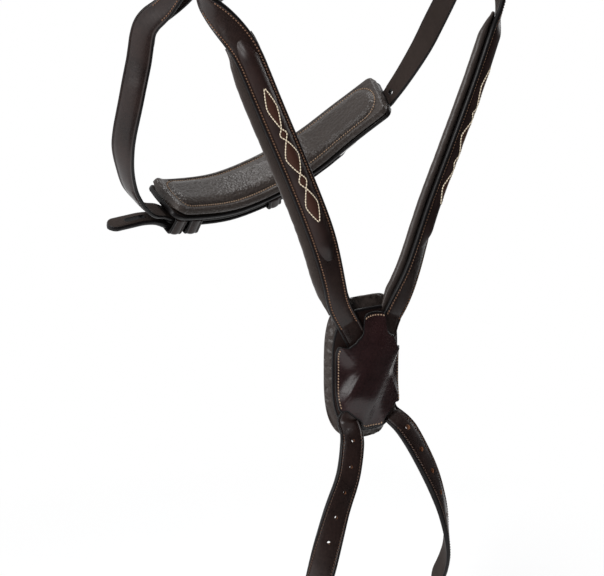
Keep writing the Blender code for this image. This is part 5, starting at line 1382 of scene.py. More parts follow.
def headpiece_halves():
    """Middles and widths across of the cheek tail and the throat tail where the headpiece parts."""
    slit = (THROAT_SETBACK - NARROW_WIDTH / 2 - CHEEK_FORWARD + PLAIN_WIDTH / 2) / 2
    front, back = slit - HEADPIECE_SLIT / 2, slit + HEADPIECE_SLIT / 2
    half = HEADPIECE_WIDTH / 2
    return (front - half) / 2, front + half, (back + half) / 2, half - back


def dress_tail(name, top, slit, side, cheek, lower, node, tip, width):
    """A tail of the headpiece and the strap that it becomes, in one piece."""
    middles = headpiece_halves()
    start, broad = (middles[0], middles[1]) if cheek else (middles[2], middles[3])
    end = -CHEEK_FORWARD if cheek else THROAT_SETBACK
    spread = HEADPIECE_SLIT_TOP * 0.7
    tail = tail_path(top, slit, side, start, end, spread)
    path = fine(joined(tail, lower))
    run = run_of(path)
    widths = broad + (width - broad) * ease(run, 0.0, spread)
    if tip:
        widths = widths * round_share(run[-1] - run, tip)
    made = strap(name, path, widths, -LEATHER / 2, LEATHER / 2, HAVANA_LOOKS)
    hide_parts(node)
    return made, path, run_of(tail)[-1]


def bend_at(made, hinge):
    """Bakes the piece's transform into its mesh."""
    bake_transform(made)


def dress_crown(line):
    """The noseband's crown strap and the short near side strap with its buckle and keeper."""
    strap_line = lifted(line, CROWN_STRAP_HEIGHT)
    loop, leave = ring_loop(-1.0, (0.0, 1.0), LEATHER)
    rise = straight(leave, strap_line[0][0], strap_line[1][0], PLAIN_STEPS)
    rise[1][:2] = (-1.0, 0.0, 0.0)
    near = Buckle((RING_HALF_SPAN, -RING_FORWARD, -NEAR_BUCKLE_DROP), (0, 0, 1), (1, 0, 0),
                  NOSEBAND_CROWN_WIDTH)
    billet = near.billet_path(NEAR_BILLET_TAIL)
    fall = straight(strap_line[0][-1], billet[0][0], strap_line[1][-1], PLAIN_STEPS)
    fall[1][-2:] = (1.0, 0.0, 0.0)
    path = joined(loop, rise, strap_line, fall, billet)
    long, long_path = ring_strap("noseband_crown_leather", path, NOSEBAND_CROWN_WIDTH, HAVANA_LOOKS,
                                 TIP_LENGTH)
    dress(long, "headpiece", "havana_leather", "noseband_crown_strap")
    bored(long, long_path, 1 - np.array(CROWN_HOLE_SHARES), LEATHER, BORE_WALL)
    loop, leave = ring_loop(1.0, (0.0, 1.0), LEATHER)
    level = near.place(-NEAR_BILLET_TAIL - EDGE, near.wrap)
    run = joined(straight(leave, level, near.face),
                 straight(level, near.place(0.0, near.wrap), near.face, steps=2))
    path = joined(loop, run, near.chape())
    short, short_path = ring_strap("noseband_near_leather", path, NOSEBAND_CROWN_WIDTH, HAVANA_LOOKS)
    dress(short, "headpiece", "havana_leather", "noseband_near_strap")
    dress_buckle("noseband", near, "headpiece")
    buckle_keeper("noseband_keeper", near, NEAR_BILLET_TAIL * NEAR_KEEPER_SHARE)
    rows = turned_rows(long_path, NOSEBAND_CROWN_WIDTH) + turned_rows(short_path, NOSEBAND_CROWN_WIDTH)
    sew("crown_sewing", "headpiece", rows, BROWN_THREAD)


def ring_taper(run, width, turned=TURNED_END):
    """Widths of a strap round its ring: drawn in at the loop, full on both sides of it."""
    off = np.abs(run - turned - RING_WIRE)
    return np.interp(off, TURNED_END * (np.array(RING_TAPER_SHARES) - 1), [RING_LOOP_WIDTH, width])


def ring_strap(name, path, width, looks, tip=0.0, turned=TURNED_END, broad=0.0):
    """A strap that starts round a ring's wire, with a rounded end if it has a free one."""
    path = fine(path)
    run = run_of(path)
    widths = ring_taper(run, width, turned)
    if broad:
        start, end = turned * 2, turned + JAW_BROAD_REACH
        swell = ease(run, start, start + turned / 2) * (1 - ease(run, end - turned / 2, end))
        widths = widths * (1 + broad * swell)
    if tip:
        widths = widths * round_share(run[-1] - run, tip)
    return strap(name, path, widths, -LEATHER / 2, LEATHER / 2, looks), path


def turned_rows(path, width, length=TURNED_END):
    """Stitches that hold a turned-back end: on the face above it, beside both edges."""
    run = run_of(path)
    start = length + np.pi * (RING_WIRE / 2 + 2 * SEAT + LEATHER / 2)
    return edge_rows(path, ring_taper(run, width, length), LEATHER / 2, start + STITCH_PITCH, start + length)


def dress_browband(line):
    """A band round the brow that loops round headpiece and crown strap at both ends."""
    path = browband_path(line)
    path = plain_strap("browband_leather", "headpiece", "browband", path, BROWBAND_WIDTH, THIN_LEATHER)
    first, last = run_of(path)[-1] * np.array(BROWBAND_STITCH_SHARES)
    rows = edge_rows(path, BROWBAND_WIDTH, THIN_LEATHER / 2, first, last)
    sew("browband_sewing", "headpiece", rows, CREAM_THREAD)


def browband_path(line):
    drop = np.argmin(np.abs(line[0][:, 2] + BROWBAND_LOOP_DROP) - line[0][:, 0])
    station, look = line[0][drop], axes_of(line)[2][drop]
    low = LINING_THICKNESS - BROWBAND_LOOP_CLEARANCE - THIN_LEATHER / 2
    high = HEADPIECE_HEIGHT + LEATHER / 2 + BROWBAND_LOOP_CLEARANCE + THIN_LEATHER / 2
    rear = HEADPIECE_WIDTH / 2 + BROWBAND_LOOP_CLEARANCE
    way = np.array([0.0, 1.0, 0.0])
    inner, outer = station + look * low, station + look * high
    middle = station + look * (low + high) / 2
    inside = straight(inner - way * rear, inner + way * rear, -look)
    around = reverse(bend(middle + way * rear, way, look, (high - low) / 2))
    outside = straight(outer + way * rear, outer - way * rear, look)
    brow = np.array([0.0, -BROWBAND_REACH, station[2] - BROWBAND_DROP])
    looks = unit(np.array([look * out - way * ahead for out, ahead in BROWBAND_TURN_SHARES]))
    front = route_across(outer - way * rear, brow, BROWBAND_FRONT_SHARES, looks)
    end = joined(inside, around, outside)
    return joined(end, front, reverse(mirror_path(end)))


# Cheekpieces and throatlatch


def dress_cheekpiece(name, side, line, top, slit):
    """Tail and billet, strap with turned-up bit end, buckle, keeper and hook stud of one side."""
    body = "cheekpiece_" + name
    face = np.array([side, 0.0, 0.0])
    clasp = Buckle((side * CHEEK_HALF_SPAN, -CHEEK_FORWARD, -CHEEK_BUCKLE_DROP), (0, 0, 1), face, PLAIN_WIDTH)
    coarse = lifted(line, HEADPIECE_HEIGHT)
    end = 0 if side < 0 else -1
    start = coarse[0][end] + np.array([0.0, -CHEEK_FORWARD, -HINGE_GAP])
    lower = billet_rows(start, coarse[1][end], clasp, CHEEK_BILLET_TAIL)
    made, path, tail = dress_tail("cheek_tail_" + name, top, slit, side, True, lower,
                                  "cheek_billet_" + name, TIP_LENGTH, PLAIN_WIDTH)
    bored(made, path, hole_shares(path, tail), LEATHER, BORE_WALL)
    bend_at(made, start - (0, 0, PLAIN_WIDTH / 2))
    rise, foot = bit_end(clasp)
    path = joined(rise, clasp.chape())
    path = plain_strap("cheek_leather_" + name, body, "cheek_strap_" + name, path, PLAIN_WIDTH)
    low = CHEEK_TURNED_END + np.pi * CHEEK_LOOP_RADIUS
    rows = edge_rows(path, PLAIN_WIDTH, LEATHER / 2, low + CHEEK_TURNED_END * 0.35, low + CHEEK_TURNED_END)
    rows += chape_rows(path, PLAIN_WIDTH)
    sew("cheek_sewing_" + name, body, rows, BROWN_THREAD)
    dress_buckle("cheek_" + name, clasp, body)
    buckle_keeper("cheek_keeper_" + name, clasp, CHEEK_BILLET_TAIL * CHEEK_KEEPER_SHARE)
    dress_stud(name, side, foot)


def hole_shares(path, tail):
    """Shares of a tail's path at which its billet is punched, as the solid's are."""
    total = run_of(path)[-1]
    return [(tail + share * (total - tail)) / total for share in BILLET_HOLE_SHARES]


def dress_throatlatch(line, top, slit):
    """The throat strap from the headpiece's right tail, its buckle on the left, and its billet."""
    coarse = lifted(line, HEADPIECE_HEIGHT)
    tail_end = coarse[0][-1] + np.array([0.0, THROAT_SETBACK, -HINGE_GAP])
    clasp = Buckle((THROAT_HALF_SPAN, THROAT_SETBACK, -THROAT_BUCKLE_DROP), (0, 0, 1), (1, 0, 0),
                   NARROW_WIDTH)
    lower = billet_rows(tail_end, coarse[1][-1], clasp, THROAT_BILLET_TAIL)
    made, path, tail = dress_tail("throat_tail", top, slit, 1.0, False, lower, "throat_billet",
                                  TIP_LENGTH, NARROW_WIDTH)
    bored(made, path, hole_shares(path, tail), LEATHER, BORE_WALL)
    hinge = tail_end - (0, 0, NARROW_WIDTH / 2)
    bend_at(made, hinge)
    start = np.array([THROAT_HALF_SPAN + clasp.wrap, THROAT_SETBACK, -THROAT_BUCKLE_DROP])
    under = route_across(start, (0.0, THROAT_DEPTH, -THROAT_DROP), THROAT_SHARES, THROAT_FACES)
    rise = straight(mirrored(-1.0, start), mirrored(-1.0, tail_end), (-1.0, 0.0, 0.0), PLAIN_STEPS)
    lower = reverse(joined(reverse(clasp.chape()), under, rise))
    made, path, _ = dress_tail("throat_leather", top, slit, -1.0, False, lower, "throat_strap", 0.0,
                               NARROW_WIDTH)
    bend_at(made, mirrored(-1.0, hinge))
    sew("throat_sewing", "throatlatch", chape_rows(path, NARROW_WIDTH), BROWN_THREAD)
    dress_buckle("throat", clasp, "throatlatch")
    buckle_keeper("throat_keeper", clasp, THROAT_BILLET_TAIL * THROAT_KEEPER_SHARE)


# Front of the noseband


def dress_front(name, side):
    """One long cross strap from its ring through the disc to its end, its lining and raised strip."""
    loop, front = front_path(name, side)
    share = run_of(front) / run_of(front)[-1]
    front = moved_across(front, FRONT_SHIFTS[name] * ease(share, 0.0, 0.2) * (1 - ease(share, 0.72, 1.0)))
    front = twisted(front, FRONT_TWISTS[name], FRONT_TWIST_FADE)
    shares = np.linspace(-1.0, 1.0, CROSS_STATIONS)
    inside = disc_line(side, shares, crossing_lift(shares, side))
    clasp = chin_clasp(-side)
    billet = clasp.billet_path(LOWER_BILLET_TAIL)
    lower = route(inside[0][-1], billet[0][0], LOWER_SHARES[name], mirrored(-side, LOWER_FACES[name]))
    lower = twisted(lower, LOWER_TWISTS[name], FRONT_TWIST_FADE)
    coarse = joined(loop, front, inside, lower, billet)
    at = np.array(cross_marks(loop, front, inside))
    path = fine(coarse)
    run = run_of(path) * run_of(coarse)[-1] / run_of(path)[-1]
    inner, outer = FRONT_WIDTH * CROSS_WIDTH_SHARE, LOWER_WIDTH * CROSS_WIDTH_SHARE
    marked = [*[RING_LOOP_WIDTH] * 2, *[FRONT_WIDTH] * 2, inner, outer, outer, LOWER_WIDTH]
    widths = np.interp(run, at, marked)
    drawn = (1 - FRONT_MOUTH_SHARES[name]) * ease(run, at[3] - FRONT_MOUTH_REACH, at[3])
    mouth = FRONT_WIDTH * FRONT_DRESSED_SHARE * (1 - drawn)
    widths = np.where(run < at[5], np.minimum(widths, mouth), widths)
    # The lower straps grow broader below the disc and stay so to their ends
    broad = ease(run, at[6], at[6] + LOWER_BROAD_REACH / 5) * ease(run, at[6], at[6] + LOWER_BROAD_REACH)
    widths = widths * (1 + LOWER_BROADER[name] * broad)
    skived = FRONT_BASE_THICKNESS * CROSS_THICKNESS_SHARE
    thick = np.interp(run, at, [*[FRONT_BASE_THICKNESS] * 4, skived, *[THIN_LEATHER] * 2, LOWER_THICKNESS])
    taper = at[-1] + LOWER_WIDTH * np.array(LOWER_TAPER_SHARES)
    thick = np.minimum(thick, np.interp(run, taper, [LOWER_THICKNESS, LEATHER]))
    hidden = (run > at[4] - EDGE) & (run < at[6] + EDGE)
    low = -np.where(hidden, np.minimum(thick, THIN_LEATHER) / 2, thick / 2)
    rounded = widths * round_share(run[-1] - run, TIP_LENGTH)
    body = strap("cross_leather_" + name, path, rounded, low, low + thick, HAVANA_LOOKS)
    holes = np.linspace(LOWER_FIRST_HOLE_SHARE, LOWER_LAST_HOLE_SHARE, LOWER_HOLES)
    bored(body, lower, holes, LOWER_THICKNESS, BORE_WALL, HOLE_CLOSED_SHARES[name])
    dress(body, "front_noseband", "havana_leather", "cross_strap_" + name)
    top = low + thick
    scale = run_of(path)[-1] / run_of(coarse)[-1]
    rows = edge_rows(path, widths, top, at[2] * 0.9 * scale, at[4] * scale)
    sew("cross_sewing_" + name, "front_noseband", rows, BROWN_THREAD)
    rows = edge_rows(path, widths, top, (at[7] - LOWER_WIDTH * 0.4) * scale, taper[1] * scale)
    sew("lower_sewing_" + name, "front_noseband", rows, DARK_THREAD)
    dress_front_layers(name, front)


def dress_front_layers(name, front):
    """The padded lining behind a front strap and the raised strip with its fancy sewing."""
    coarse_run = run_of(front)
    path = fine(front)
    scale = run_of(path)[-1] / coarse_run[-1]
    ends = (FRONT_LINING_STATIONS[0], -1 - FRONT_LINING_STATIONS[1],
            FRONT_TOP_STATIONS[0], -1 - FRONT_TOP_STATIONS[1])
    cuts = [coarse_run[k] * scale for k in ends]
    soft = carried_on(part_of(path, cuts[0], cuts[1]), LINING_REACHES[name])
    run = run_of(soft)
    near = np.minimum(run, run[-1] - run)
    ends = LINING_END_SHARE + (1 - LINING_END_SHARE) * ease(near, 0.0, LINING_FADE / 2)
    soft = moved_across(soft, LINING_SHIFTS[name] * ease(near, 0.0, LINING_FADE))
    turn = full_turn(44)
    across = np.sign(np.cos(turn)) * np.abs(np.cos(turn)) ** SOFT_SIDE_POWER
    deep = np.sign(np.sin(turn)) * np.abs(np.sin(turn)) ** SOFT_FACE_POWER
    high = -FRONT_BASE_THICKNESS / 2 - FRONT_LINING_SEAT
    mouth = 1 - (1 - FRONT_MOUTH_SHARES[name]) * ease(run, run[-1] - FRONT_MOUTH_REACH, run[-1])
    half = FRONT_WIDTH / 2 * FRONT_DRESSED_SHARE * mouth + (FRONT_LINING_MARGIN + LINING_SWELL) * ends
    depth = FRONT_LINING_THICKNESS * ends / 2
    levels = (high - depth)[:, None] + depth[:, None] * deep[None]
    section = np.stack([half[:, None] * across[None], levels], axis=-1)
    corners = carry(soft, section)
    inward = unit(corners.mean(axis=1, keepdims=True) - corners)
    wrinkle = 0.00022 * np.clip(ripple(corners, 0.0075, 5) + 0.4, 0.0, 1.5) * (np.abs(across) > 0.4)[None]
    corners += inward * wrinkle[..., None]
    lining = tube("front_padding_" + name, corners, [LINING_FINE], [0] * len(turn), along=run)
    dress(lining, "front_noseband", "padded_lining", "front_lining_" + name)
    dress_strip(name, part_of(path, cuts[2], cuts[3]))


def strip_height(across):
    """Height share of the raised strip at a share across it: ((1 - a^2)(1 - 0.35 a^2))^0.72."""
    a = np.clip(np.abs(across), 0.0, 1.0) ** 2
    return ((1 - a) * (1 - 0.35 * a)) ** 0.72


def fancy_line(share, half):
    """How far the fancy sewing lies from the strip's middle: 1 - |2t - 1|^1.4 in each of its spans."""
    offset = np.zeros_like(share)
    for first, last, broad in zip(FANCY_ZERO_SHARES, FANCY_ZERO_SHARES[1:], FANCY_WIDTH_SHARES):
        span = (share >= first) & (share <= last)
        lens = 1 - np.abs(2 * (share - first) / (last - first) - 1) ** FANCY_POWER
        offset = np.where(span, half * broad * lens, offset)
    return offset


def dress_strip(name, path):
    """The raised strip: a soft crown that rises out of the strap at both ends, redder inside the
    lenses of its fancy sewing."""
    run = run_of(path)
    ends = ease(np.minimum(run, run[-1] - run), *STRIP_END_REACH)
    width = FRONT_TOP_WIDTH / 2 * STRIP_WIDTH_SHARE * (STRIP_END_WIDTH + (1 - STRIP_END_WIDTH) * ends)
    rise = FRONT_TOP_THICKNESS * STRIP_RISE * (STRIP_END_RISE + (1 - STRIP_END_RISE) * ends)
    base = FRONT_BASE_THICKNESS / 2 - CREASE_DEPTH
    shares = np.sin(np.linspace(-1.0, 1.0, 45) * np.pi / 2)
    section = np.stack(np.broadcast_arrays(
        shares[None] * width[:, None], base + rise[:, None] * strip_height(shares)[None]), axis=-1)
    corners = carry(path, section)
    share = run / run[-1]
    out = fancy_line(share, FRONT_TOP_WIDTH / 2)
    inside = ease(np.abs(out)[:, None] - np.abs(section[..., 0]), 0.0, TINT_FADE)
    strip = tube("front_strip_leather_" + name, corners, [STRIP], [0] * len(shares), along=run,
                 marks={"tint": inside.ravel()})
    dress(strip, "front_noseband", "havana_leather", "front_raised_strip_" + name)
    rows = []
    used = (share >= FANCY_ZERO_SHARES[0]) & (share <= FANCY_ZERO_SHARES[-1])
    _, across, face = axes_of(path)
    for way in (-1.0, 1.0):
        high = base + rise * strip_height(out / width)
        places = path[0] + across * (way * out)[:, None] + face * high[:, None]
        tilt = unit(face + across * (way * out / width)[:, None] * 0.4)
        rows.append(line_stitches(places[used], tilt[used]))
    sew("fancy_sewing_" + name, "front_noseband", rows, CREAM_THREAD, 0.0, FANCY_SHARE)


# Nose disc


def disc_sheet(name, turn, rim, top, bottom, looks, rings=26):
    """A closed plate on the disc's bend, between two heights, with a half-round rim."""
    shares = np.concatenate([np.linspace(0.0, 0.9, rings)[1:], [0.94, 0.97, 0.985]])
    edge = rim * np.cos(turn), rim * np.sin(turn)
    thick = float(np.mean(top(*edge) - bottom(*edge)))
    layers, kinds = [], []

    def layer(reach, up, kind):
        u, v = reach * np.cos(turn), reach * np.sin(turn)
        layers.append(disc_point(u, v, bottom(u, v) + (top(u, v) - bottom(u, v)) * up))
        kinds.append(kind)

    for share in shares:
        layer(share * (rim - thick / 2), 1.0, FACE)
    for angle in np.radians(np.linspace(90.0, -90.0, 9)):
        inset = thick / 2 * (1 - np.cos(angle))
        layer(np.maximum(rim - inset, rim * 0.02), (1 + np.sin(angle)) / 2, EDGE_ROLE)
    for share in shares[::-1]:
        layer(share * (rim - thick / 2), 0.0, BACK)
    corners = np.array(layers)
    count = len(turn)
    faces = grid_faces(len(layers), count, False)
    kinds = np.repeat(kinds[1:], count).tolist()
    poles = [disc_point(0.0, 0.0, top(0.0, 0.0)), disc_point(0.0, 0.0, bottom(0.0, 0.0))]
    total = len(layers) * count
    for k in range(count):
        after = (k + 1) % count
        faces += [[total, after, k], [total + 1, total - count + k, total - count + after]]
        kinds += [FACE, BACK]
    corners = np.vstack([corners.reshape(-1, 3), poles])
    around = np.stack([corners[:, 2], corners[:, 0]], axis=-1)
    return mesh_object(name, corners, faces, looks, kinds, around)


def cover_rim(turn):
    """The cover's rim, drawn in at its four mouths: the solid's rows, averaged over a small angle."""
    rows = np.array([row for row in COVER_RIM_SHARES if row[0] < NECK_SHARES[0][0]] + list(NECK_SHARES))
    shares = 0.0
    spread = np.linspace(-1.0, 1.0, 9)
    weights = np.cos(spread * np.pi / 2.2) ** 2
    for step, weight in zip(spread, weights / weights.sum()):
        at = turn + np.radians(RIM_SOFTNESS) * step
        degrees = np.degrees(np.arctan2(np.sin(at), np.abs(np.cos(at))))
        degrees = degrees + NEAR_CORNER_DROP * ((np.cos(at) > 0) & (degrees > 10) & (degrees < 62))
        shares = shares + weight * np.interp(degrees, rows[:, 0], rows[:, 1])
    return shares * oblong_radius(turn, COVER_HALF_WIDTH, COVER_HALF_HEIGHT)


def soft_tunnel(u, v):
    """The room for the straps as leather bridges it: the mean of the solid's room over a small disc."""
    total, weight = tunnel_height(u, v) * 1.0, 1.0
    for reach, share in TUNNEL_MEANS:
        for angle in full_turn(8):
            total = total + share * tunnel_height(u + reach * np.cos(angle), v + reach * np.sin(angle))
            weight += share
    return np.maximum(total / weight * TUNNEL_LOFT, tunnel_height(u, v) * TUNNEL_LEAST)


def dress_disc():
    """Padded lining, base plate and domed cover of the nose disc, sewn together."""
    turn = full_turn(240)
    rim = oblong_radius(turn, DISC_HALF_WIDTH, DISC_HALF_HEIGHT)
    plate = disc_sheet("disc_base_leather", turn, rim, lambda u, v: 0 * u,
                       lambda u, v: 0 * u - DISC_BASE_THICKNESS, HAVANA_LOOKS)
    dress(plate, "front_noseband", "havana_leather", "disc_base_plate")
    dress_disc_lining(turn)
    rim = cover_rim(turn)
    cover = disc_sheet("disc_cover_leather", turn, rim, cover_height, lambda u, v: SEAT + soft_tunnel(u, v),
                       [HAVANA_SOFT, PAINTED_EDGE, HAVANA_BACK], 40)
    dress(cover, "front_noseband", "havana_leather", "disc_cover")
    sew_disc(turn, rim)


def cover_height(u, v):
    """The cover's face: the room for the straps under it plus its wall, a little slack."""
    return SEAT + DISC_COVER_WALL + soft_tunnel(u, v)


def dress_disc_lining(turn):
    wide, tall = DISC_HALF_WIDTH + DISC_LINING_MARGIN, DISC_HALF_HEIGHT + DISC_LINING_MARGIN
    rim = oblong_radius(turn, wide, tall)
    seat = -DISC_BASE_THICKNESS - DISC_SEAT

    def reach(u, v):
        return np.hypot(u, v) / oblong_radius(np.arctan2(v, u), wide, tall)

    def puckers(u, v):
        spot = np.stack([u, v, 0 * u], axis=-1)
        high = PUCKER_HEIGHT * np.clip(ripple(spot, PUCKER_SIZE, 8) + 0.5, 0.0, 1.6)
        return high * ease(reach(u, v), 0.75, 0.9)

    def top(u, v):
        roll = -ease(reach(u, v), 1.0 - DISC_ROLL_SHARE, 1.0) ** 2
        return seat + DISC_LINING_THICKNESS * DISC_ROLL_FACE_SHARE * roll - puckers(u, v)

    def bottom(u, v):
        roll = -ease(reach(u, v), 1.0 - DISC_ROLL_SHARE, 1.0) ** 2
        return seat - DISC_LINING_THICKNESS * (1.0 + DISC_ROLL_BACK_SHARE * roll) + puckers(u, v)

    lining = disc_sheet("disc_padding", turn, rim, top, bottom, [LINING_FINE] * 3)
    dress(lining, "front_noseband", "padded_lining", "disc_lining")


def sew_disc(turn, rim):
    """Stitches round the cover wherever it lies flat on the base plate, between its mouths."""
    dense = full_turn(RIM_STEPS)
    flat = cover_rim(dense) > FLAT_RIM_SHARE * oblong_radius(dense, COVER_HALF_WIDTH, COVER_HALF_HEIGHT)
    starts = np.flatnonzero(flat & ~np.roll(flat, 1))
    reach = cover_rim(dense) - DISC_STITCH_INSET
    u, v = reach * np.cos(dense), reach * np.sin(dense)
    places = disc_point(u, v, cover_height(u, v) + THREAD_RADIUS * 0.2)
    looks = unit(np.stack([np.sin(u / DISC_BEND_RADIUS), -np.cos(u / DISC_BEND_RADIUS), 0 * u], axis=-1))
    rows = []
    for start in starts:
        order = (start + np.arange(len(dense))) % len(dense)
        length = np.argmin(flat[order])
        used = order[:length]
        if length > LEAST_SEAM_STEPS:
            rows.append(line_stitches(places[used], looks[used]))
    sew("disc_cover_sewing", "front_noseband", rows, PALE_THREAD)


# Chin strap


def dress_chin():
    clasp = chin_clasp(1.0)
    middle = np.array([0.0, CHIN_DEPTH, -CHIN_DROP])
    run = route_across(clasp.place(0.0, clasp.wrap), middle, CHIN_SHARES, CHIN_FACES)
    end = reverse(clasp.chape())
    path = joined(end, run, reverse(mirror_path(end)))
    path = plain_strap("chin_leather", "front_noseband", "chin_strap", path, LOWER_WIDTH)
    total = run_of(path)[-1]
    near, far = TURNED_END * np.array(CHIN_STITCH_SHARES)
    rows = edge_rows(path, LOWER_WIDTH, LEATHER / 2, near, far)
    rows += edge_rows(path, LOWER_WIDTH, LEATHER / 2, total - far, total - near)
    sew("chin_sewing", "front_noseband", rows, BROWN_THREAD)
    for name, side in SIDES.items():
        dress_buckle("chin_" + name, chin_clasp(side), "front_noseband")
        buckle_keeper("chin_keeper_" + name, chin_clasp(side), LOWER_BILLET_TAIL * LOWER_KEEPER_SHARE)


# Jaw pad and its straps


def stitched_depth(off, left):
    """How far a point of the pad lies inside its stitched outline, a band with round ends, from its
    distance off the pad's middle line and its length left to the nearer end."""
    half = PAD_WIDTH / 2 - PAD_STITCH_INSET
    over = np.maximum(PAD_STITCH_INSET + half - left, 0.0)
    return half - np.hypot(off, over)


def pad_height(off, left):
    """Share of the cushion's thickness at a point: a rounded rim, a sewn channel and a full crown."""
    half = PAD_WIDTH / 2
    edge = np.minimum(half - np.abs(off), left)
    rim = np.sqrt(1 - (1 - np.clip(edge / PAD_ROUNDING, 0.0, 1.0)) ** 2)
    inside = stitched_depth(off, left)
    channel = PAD_CHANNEL_SHARE * np.exp(-(inside / PAD_CHANNEL_WIDTH) ** 2)
    crown = (1 - PAD_RIM_SHARE) * np.sqrt(ease(inside, 0.0, PAD_SWELL))
    return np.maximum(PAD_RIM_SHARE * (0.35 + 0.65 * rim) - channel + crown, 0.1)


def dress_jaw_pad():
    """The jaw pad's cushion with its rolled edge and sewn channel, and its leather back."""
    line = fine(moved_across(pad_line(), PAD_RAISE))
    run = run_of(line)
    left = np.minimum(run, run[-1] - run)
    corner = np.clip(PAD_CORNER - left, 0.0, PAD_CORNER)
    half = PAD_WIDTH / 2 - PAD_CORNER + np.sqrt(PAD_CORNER ** 2 - corner ** 2)
    half = np.maximum(half, PAD_WIDTH / 2 - PAD_CORNER * 0.8)
    shares = np.sin(np.linspace(-1.0, 1.0, 71) * np.pi / 2)
    off = shares[None] * half[:, None]
    top = -PAD_BACK_THICKNESS - SEAT
    high = pad_height(off * (PAD_WIDTH / 2) / half[:, None], np.broadcast_to(left[:, None], off.shape))
    spots = np.stack([off, 0 * off, 0 * off + run[:, None]], axis=-1)
    crown = ease(stitched_depth(off, left[:, None]), 0.0, 0.004)
    high = high + PAD_RIPPLE * ripple(spots, PAD_RIPPLE_SIZE, 11) * crown
    section = np.stack([off, top - PAD_LINING_THICKNESS * high], axis=-1)
    under = np.stack(np.broadcast_arrays(half[:, None] * np.array([[0.6, 0.0, -0.6]]), top), axis=-1)
    corners = carry(line, np.concatenate([section, under], axis=1))
    cushion = tube("jaw_pad_cushion", corners, [LINING], [0] * corners.shape[1], along=run)
    dress(cushion, "jaw_strap", "padded_lining", "jaw_pad_lining")
    back = strap("jaw_pad_leather", line, 2 * half - EDGE, -PAD_BACK_THICKNESS, 0.0, HAVANA_LOOKS)
    dress(back, "jaw_strap", "havana_leather", "jaw_pad_back")
    sew("jaw_pad_sewing", "jaw_strap", [pad_seam(line, top)], PALE_THREAD)
    rows = edge_rows(line, PAD_WIDTH, 0.0, PAD_CORNER, run[-1] - PAD_CORNER, PAD_STITCH_INSET)
    sew("jaw_pad_back_sewing", "jaw_strap", rows, BROWN_THREAD)


def pad_seam(line, top):
    """Stitches along the cushion's channel, which turns round at both of its ends."""
    run = run_of(line)
    half = PAD_WIDTH / 2 - PAD_STITCH_INSET
    turn = np.linspace(-np.pi / 2, np.pi / 2, 60)
    first, last = half + PAD_STITCH_INSET, run[-1] - half - PAD_STITCH_INSET
    straight_run = np.linspace(first, last, 400)
    length = np.concatenate([straight_run, last + half * np.cos(turn[::-1]), straight_run[::-1],
                             first - half * np.cos(turn)])
    off = np.concatenate([0 * straight_run + half, half * np.sin(turn[::-1]), 0 * straight_run - half,
                          half * np.sin(turn)])
    axes = axes_of(line)
    spot, across, face = (sampled(length, run, row) for row in (line[0], axes[1], axes[2]))
    left = np.minimum(length, run[-1] - length)
    high = top - PAD_LINING_THICKNESS * (pad_height(off, left) + PAD_SEAM_LIFT)
    return line_stitches(spot + across * off[:, None] + face * high[:, None], -face)


def dress_jaw_straps():
    """The two jaw straps, their buckle, keepers and slip loop."""
    dress_jaw_pad()
    line = jaw_line()
    share = run_of(line) / run_of(line)[-1]
    low = PAD_STRAP_SEAT + LEATHER / 2
    base = low + KEEPER_WALL + KEEPER_CLEARANCE
    bar, along, _, face = frame_at(line, JAW_BUCKLE_SHARE)
    wrap = BUCKLE_WIRE / 2 + SEAT + LEATHER / 2
    clasp = Buckle(bar + face * (low + wrap), along, face, JAW_WIDTH)
    rise = JAW_BUCKLE_SHARE - np.array(JAW_RISE_SHARES)
    height = np.interp(share, rise, [base, base + wrap * JAW_RISE_HEIGHT_SHARE, low + 2 * wrap])
    right = jaw_right_path(clasp, line, share, height, low)
    made, path = ring_strap("jaw_right_leather", right, JAW_WIDTH, HAVANA_LOOKS, 0.0, JAW_TURNED_LENGTH,
                            JAW_BROADER)
    dress(made, "jaw_strap", "havana_leather", "jaw_strap_right")
    rows = turned_rows(path, JAW_WIDTH, JAW_TURNED_LENGTH)
    left, fall = jaw_left_path(clasp, line, share, height + LEATHER + JAW_LAYER_GAP, low)
    made, path = ring_strap("jaw_left_leather", left, JAW_WIDTH, BLACK_LOOKS, TIP_LENGTH)
    bored(made, fall, JAW_HOLE_SHARES, LEATHER, PAINTED_EDGE, JAW_HOLE_OPEN_SHARE)
    dress(made, "jaw_strap", "black_lining_leather", "jaw_strap_left")
    sew("jaw_sewing", "jaw_strap", rows + turned_rows(path, JAW_WIDTH), BROWN_THREAD)
    dress_buckle("jaw", clasp, "jaw_strap")
    top = base + LEATHER * 1.5 + JAW_LAYER_GAP
    for letter, place in zip("abc", JAW_KEEPER_SHARES):
        centre, along, across, face = frame_at(line, place)
        high = top + (SEAT + SLIP_LOOP_THICKNESS if place < SLIP_LOOP_TAIL_SHARE else 0.0)
        dress_keeper("jaw_keeper_" + letter, "jaw_strap", centre, along, across, face, JAW_WIDTH,
                     base - LEATHER / 2, high, JAW_KEEPER_WIDTH)
    dress_slip_loop(line, share, top + SEAT)


